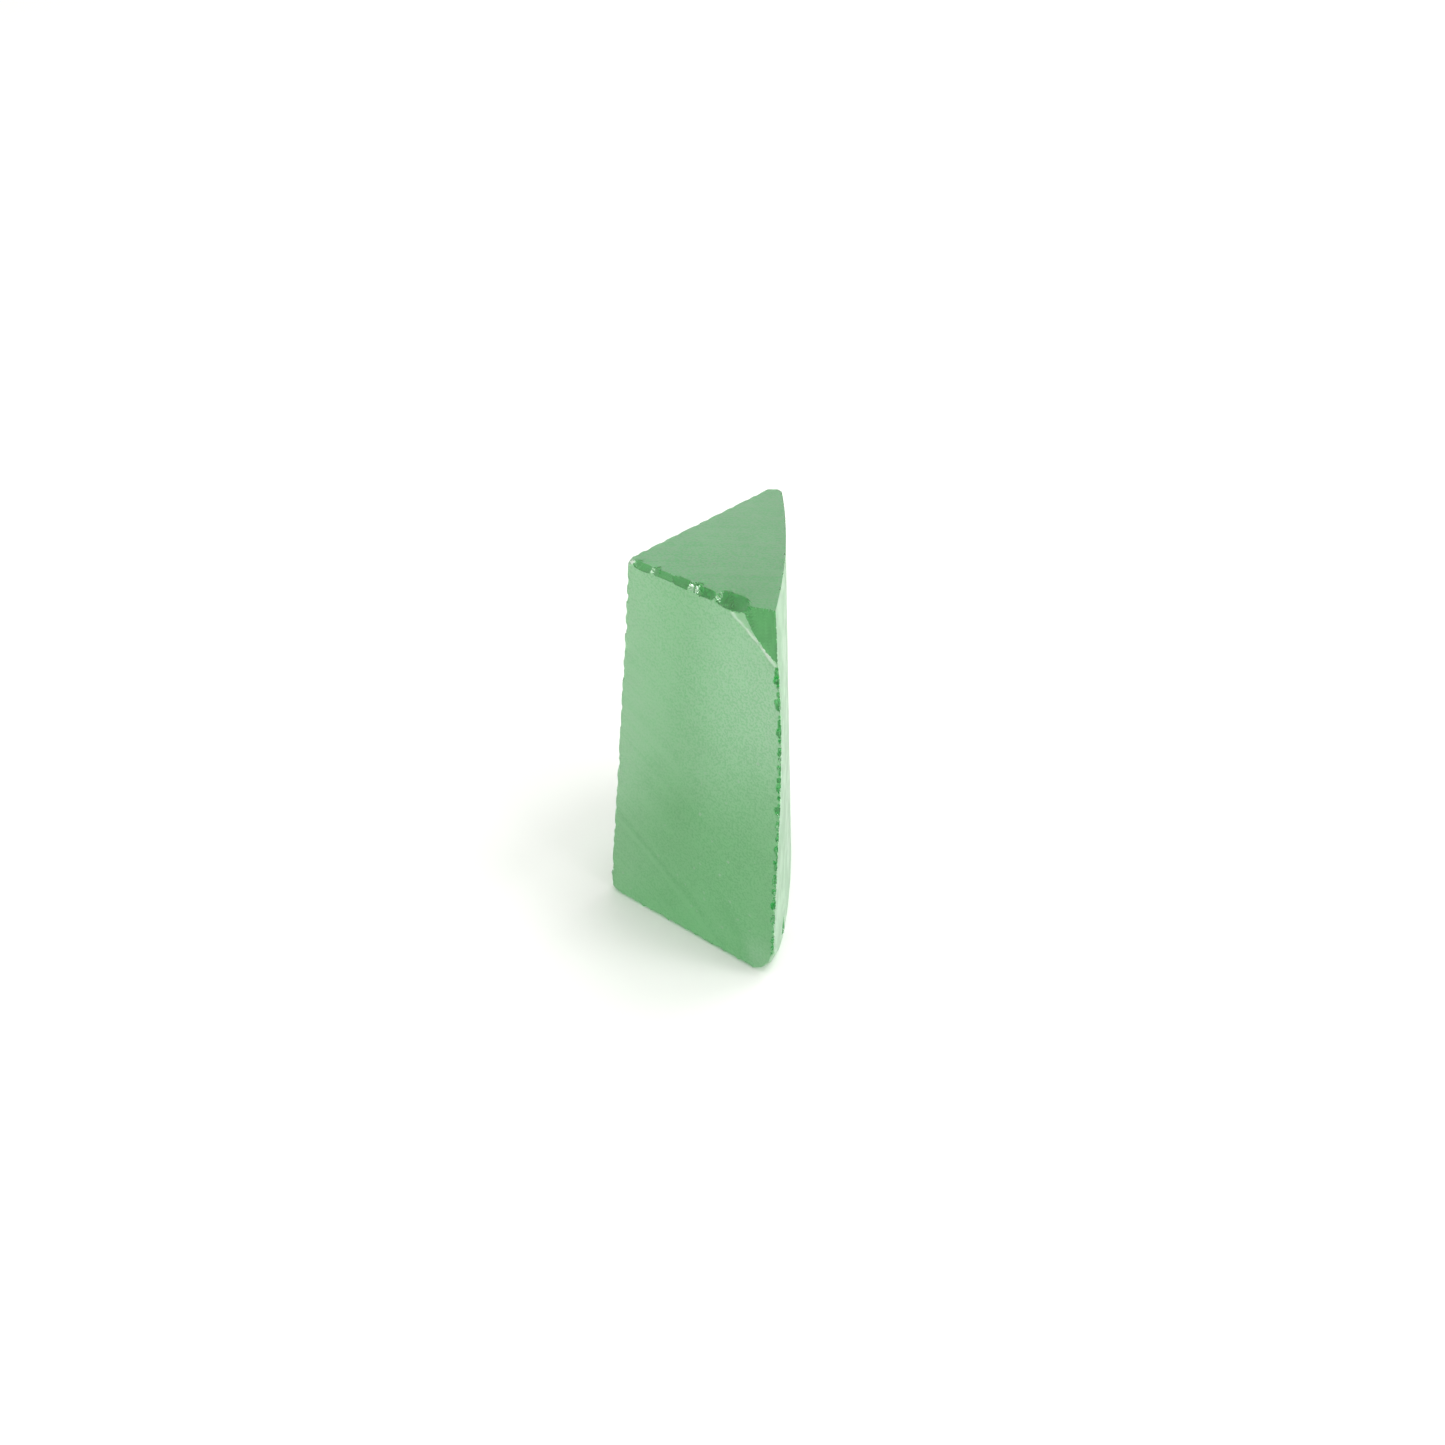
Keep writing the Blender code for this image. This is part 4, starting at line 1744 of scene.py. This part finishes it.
@dataclass(frozen=True)
class WornFinish:
    """Worn edges and corners: rubbed paler than the sawn faces and without their strokes.

    Attributes:
        name: name of the material.
        roughness: roughness of the surface.
        transmission: share of light that goes in.
        tint: colour where it is rubbed least.
        pale: colour where it is rubbed most.
        grain: size of a grain.
        relief: height of the grains.
        duller: roughness added where it is rubbed least.
        glossier: roughness taken away where it is rubbed most.
    """

    name: str = "worn_crystal"
    roughness: float = 0.40
    transmission: float = 0.80
    tint: Colour = (0.76, 0.97, 0.78, 1.0)
    pale: Colour = (0.97, 1.0, 0.96, 1.0)
    grain: float = 0.11 * MM
    relief: float = 0.010 * MM
    duller: float = 0.08
    glossier: float = 0.14

    def material(self, crystal: Crystal, grains: NodeGroup) -> bpy.types.Material:
        """The finish as a material.

        Args:
            crystal: what lies behind the surface.
            grains: the frosted grain.

        Returns:
            The material.
        """
        material, n, shader = crystal.material(self.name, self.roughness, self.transmission,
                                               self.tint)
        frosting = grains.place(n, Vector=n.place(), Size=self.grain).outputs
        rubbed = n.math("ADD", frosting["Patches"], n.attribute("rub"))
        # The glittering grains are painted pale, as painted highlights.
        tone = n.math("MAXIMUM", rubbed, frosting["Sparkle"])
        rough = n.range(frosting["Patches"], 0.0, 1.0, self.roughness + self.duller,
                        self.roughness - self.glossier)
        n.dress(shader, Base_Color=crystal.deepen(n, n.mix(tone, self.tint, self.pale)),
                Roughness=rough, Normal=n.bump(frosting["Grain"], self.relief))
        return material


@dataclass(frozen=True)
class FractureFinish:
    """Fresh breaks: as clear as glass, with the rings of a shell-like fracture.

    Attributes:
        name: name of the material.
        roughness: roughness of the clearest parts.
        transmission: share of light that goes in.
        tint: colour of the clearest parts.
        deep: colour of the other patches.
        deepest: what the colour is multiplied with in the darkest chips, as painted shade.
        pitch: distance between two rings, in millimetres.
        relief: height of the rings.
        patch: size of a grain, which sets how large the patches are.
        duller: roughness added in the dullest patches.
    """

    name: str = "broken_crystal"
    roughness: float = 0.07
    transmission: float = 1.0
    tint: Colour = (0.80, 0.97, 0.82, 1.0)
    deep: Colour = (0.60, 0.90, 0.66, 1.0)
    deepest: Colour = (0.13, 0.74, 0.31, 1.0)
    pitch: float = 0.17
    relief: float = 0.0013 * MM
    patch: float = 0.05 * MM
    duller: float = 0.16

    def material(self, crystal: Crystal, rings: NodeGroup, grains: NodeGroup) -> bpy.types.Material:
        """The finish as a material.

        Args:
            crystal: what lies behind the surface.
            rings: the fracture's ripples.
            grains: the frosted grain, here as a slight unevenness of the gloss.

        Returns:
            The material.
        """
        material, n, shader = crystal.material(self.name, self.roughness, self.transmission,
                                               self.tint)
        place = n.place()
        ripples = rings.place(n, Distance=n.attribute("ripple"), Vector=place,
                              Pitch=self.pitch).outputs
        patches = grains.place(n, Vector=place, Size=self.patch).outputs["Patches"]
        rough = n.range(patches, 0.2, 1.0, self.roughness, self.roughness + self.duller)
        colour = crystal.deepen(n, n.mix(patches, self.tint, self.deep), self.deepest)
        n.dress(shader, Base_Color=colour, Roughness=rough,
                Normal=n.bump(ripples["Height"], self.relief))
        return material


@dataclass(frozen=True)
class SkinFinish:
    """The boule's own skin: smooth, a little wavy, with faint growth lines round it.

    Attributes:
        name: name of the material.
        roughness: roughness of the skin.
        transmission: share of light that goes in.
        tint: colour of the clearer patches.
        pale: colour of the others.
        pitch: distance between two growth lines, in millimetres.
        relief: height of the growth lines.
        patch: size of a grain, which sets how large the patches are.
        glossier: roughness taken away in the clearest patches.
        duller: roughness added in the others.
    """

    name: str = "grown_skin"
    roughness: float = 0.34
    transmission: float = 0.88
    tint: Colour = (0.93, 0.99, 0.93, 1.0)
    pale: Colour = (0.97, 1.0, 0.96, 1.0)
    pitch: float = 0.9
    relief: float = 0.0012 * MM
    patch: float = 0.12 * MM
    glossier: float = 0.03
    duller: float = 0.12

    def material(self, crystal: Crystal, saw: NodeGroup, grains: NodeGroup) -> bpy.types.Material:
        """The finish as a material.

        Args:
            crystal: what lies behind the surface.
            saw: lines along the face, here the growth lines.
            grains: the frosted grain, here as patches that are less clear.

        Returns:
            The material.
        """
        material, n, shader = crystal.material(self.name, self.roughness, self.transmission,
                                               self.tint)
        lines = saw.place(n, Vector=n.saw_map(), Pitch=self.pitch, Bend=0.0).outputs
        patches = grains.place(n, Vector=n.place(), Size=self.patch).outputs["Patches"]
        rough = n.range(patches, 0.0, 1.0, self.roughness - self.glossier,
                        self.roughness + self.duller)
        n.dress(shader, Base_Color=n.mix(patches, self.tint, self.pale), Roughness=rough,
                Normal=n.bump(lines["Height"], self.relief))
        return material


def finishes() -> dict[Surface, bpy.types.Material]:
    """The finishes of the block, all on the same crystal.

    Returns:
        The material of each kind of surface.
    """
    crystal = Crystal()
    saw, grains, rings = SawMarks().group(), Frost().group(), ShellRipples().group()
    cross_sawn = SawnFinish("cross_sawn_crystal", tint=(0.53, 0.95, 0.68, 1.0),
                            pale=(0.85, 1.0, 0.94, 1.0), strokes=0.70)
    rubbed = WornFinish("rubbed_crystal", roughness=0.50, transmission=0.45,
                        tint=(0.82, 0.97, 0.84, 1.0), pale=(1.0, 1.0, 0.97, 1.0))
    return {
        Surface.SAWN: SawnFinish().material(crystal, saw, grains),
        Surface.CROSS_SAWN: cross_sawn.material(crystal, saw, grains),
        Surface.SKIN: SkinFinish().material(crystal, saw, grains),
        Surface.FRACTURE: FractureFinish().material(crystal, rings, grains),
        Surface.WORN: WornFinish().material(crystal, grains),
        Surface.RUBBED: rubbed.material(crystal, grains),
    }


@dataclass
class Table:
    """The white table under the block, which fades into white surroundings.

    Attributes:
        size: length of its sides.
        gap: how far it lies under the block.
        white: its colour.
        roughness: its roughness.
        gloss: how much it reflects.
        sky: colour of the surroundings.
        sky_strength: strength of their light.
    """

    size: float = 3.0
    gap: float = 0.03 * MM
    white: Colour = (0.93, 0.93, 0.92, 1.0)
    roughness: float = 0.9
    gloss: float = 0.2
    sky: Colour = (1.0, 1.0, 0.97, 1.0)
    sky_strength: float = 0.88

    def build(self) -> None:
        """A flat sheet on which the block stands, and the surroundings' even light."""
        half = self.size / 2.0
        corners = [(x, y, -self.gap) for x, y in ((-half, -half), (half, -half),
                                                  (half, half), (-half, half))]
        mesh = bpy.data.meshes.new("table")
        mesh.from_pydata(corners, [], [(0, 1, 2, 3)])
        table = bpy.data.objects.new("table", mesh)
        bpy.context.scene.collection.objects.link(table)
        material = bpy.data.materials.new("table_white")
        material.use_nodes = True
        shader = material.node_tree.nodes["Principled BSDF"]
        shader.inputs["Base Color"].default_value = self.white
        shader.inputs["Roughness"].default_value = self.roughness
        shader.inputs["Specular IOR Level"].default_value = self.gloss
        mesh.materials.append(material)
        world = bpy.data.worlds.new("surroundings")
        world.use_nodes = True
        light = world.node_tree.nodes["Background"]
        light.inputs["Color"].default_value = self.sky
        light.inputs["Strength"].default_value = self.sky_strength
        bpy.context.scene.world = world


def put_round(data: bpy.types.ID, name: str, target: Vector, azimuth: float,
              elevation: float, distance: float) -> bpy.types.Object:
    """Put a lamp or a camera round a point and turn it to that point.

    Azimuth nought is in front of the block and looks along +Y, and azimuths grow towards
    +X. The place is the target plus the distance times (cos e sin a, -cos e cos a, sin e).

    Args:
        data: the lamp or the camera.
        name: name of its object.
        target: the point.
        azimuth: azimuth in degrees.
        elevation: elevation in degrees.
        distance: distance from the point.

    Returns:
        The object.
    """
    a, e = radians(azimuth), radians(elevation)
    away = Vector((cos(e) * sin(a), -cos(e) * cos(a), sin(e)))
    obj = bpy.data.objects.new(name, data)
    obj.location = target + away * distance
    obj.rotation_euler = (-away).to_track_quat("-Z", "Y").to_euler()
    bpy.context.scene.collection.objects.link(obj)
    return obj


@dataclass(frozen=True)
class SoftLamp:
    """A large soft lamp that points at the middle of the block.

    Attributes:
        name: name of the lamp.
        azimuth: azimuth in degrees, as in put_round.
        elevation: elevation in degrees.
        distance: distance from the middle of the block.
        size: width of its disk.
        power: power in watts.
    """

    name: str
    azimuth: float
    elevation: float
    distance: float
    size: float
    power: float

    def build(self, target: Vector) -> None:
        """Hang the lamp.

        Args:
            target: the point it shines at.
        """
        lamp = bpy.data.lights.new(self.name, "AREA")
        lamp.shape = "DISK"
        lamp.size = self.size
        lamp.energy = self.power
        put_round(lamp, self.name, target, self.azimuth, self.elevation, self.distance)


LAMPS = (
    SoftLamp("right_lamp", 112.5, 63.0, 0.55, 0.13, 0.50),
    SoftLamp("back_lamp", 156.0, 70.0, 0.55, 0.13, 0.40),
    SoftLamp("right_panel", 98.0, 34.0, 0.60, 0.40, 1.0),
    SoftLamp("back_panel", 212.0, 24.0, 0.60, 0.50, 0.38),
)


@dataclass(frozen=True)
class Camera:
    """A hand-held camera, close to the block and looking down at it from its front right.

    Attributes:
        aim: the point in the middle of its view.
        azimuth: azimuth in degrees, as in put_round.
        elevation: elevation in degrees.
        distance: distance from the aim.
        lens: focal length in millimetres.
        sensor: width of the sensor in millimetres.
        nearest: distance at which its view begins.
        farthest: distance at which its view ends.
    """

    aim: tuple[float, float, float] = (-15.193 * MM, 11.963 * MM, 0.0)
    azimuth: float = 40.783
    elevation: float = 32.60
    distance: float = 129.58 * MM
    lens: float = 40.61
    sensor: float = 36.0
    nearest: float = 1.0 * MM
    farthest: float = 20.0

    def build(self) -> None:
        """Set the camera up and make it the scene's own."""
        data = bpy.data.cameras.new("camera")
        data.lens = self.lens
        data.sensor_width = self.sensor
        data.clip_start = self.nearest
        data.clip_end = self.farthest
        bpy.context.scene.camera = put_round(data, "camera", Vector(self.aim), self.azimuth,
                                             self.elevation, self.distance)


@dataclass(frozen=True)
class LightPaths:
    """How far light is followed, for a block that it passes through many times.

    Attributes:
        bounces: largest number of bounces in all, and of passes through a surface.
        glossy_bounces: largest number of mirror-like bounces.
        brightest: strength to which bounced light is held, against stray bright dots.
    """

    bounces: int = 20
    glossy_bounces: int = 12
    brightest: float = 3.0

    def apply(self) -> None:
        """Set the scene up so, with white kept white."""
        scene = bpy.context.scene
        scene.view_settings.view_transform = "Standard"
        scene.cycles.max_bounces = self.bounces
        scene.cycles.transmission_bounces = self.bounces
        scene.cycles.glossy_bounces = self.glossy_bounces
        scene.cycles.sample_clamp_indirect = self.brightest
        scene.cycles.use_denoising = True


def main() -> None:
    """Build the camera, the table, the lamps and the block, and log its number of faces."""
    logging.basicConfig(level=logging.INFO, format="%(name)s: %(message)s")
    low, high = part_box("crystal_block")
    Camera().build()
    Table().build()
    for lamp in LAMPS:
        lamp.build(Vector((0.0, 0.0, high.z / 2.0)))
    LightPaths().apply()
    block = CrystalBlock(np.array((low.x, low.y, 0.0)), float(high.z))
    block.shape()
    piece = block.mesh("crystal_rough_block")
    materials = finishes()
    for surface in Surface:
        piece.data.materials.append(materials[surface])
    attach(piece, "root")
    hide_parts("crystal_block")
    LOG.info("%s: %d faces", piece.name, len(piece.data.polygons))


if __name__ == "__main__":
    main()
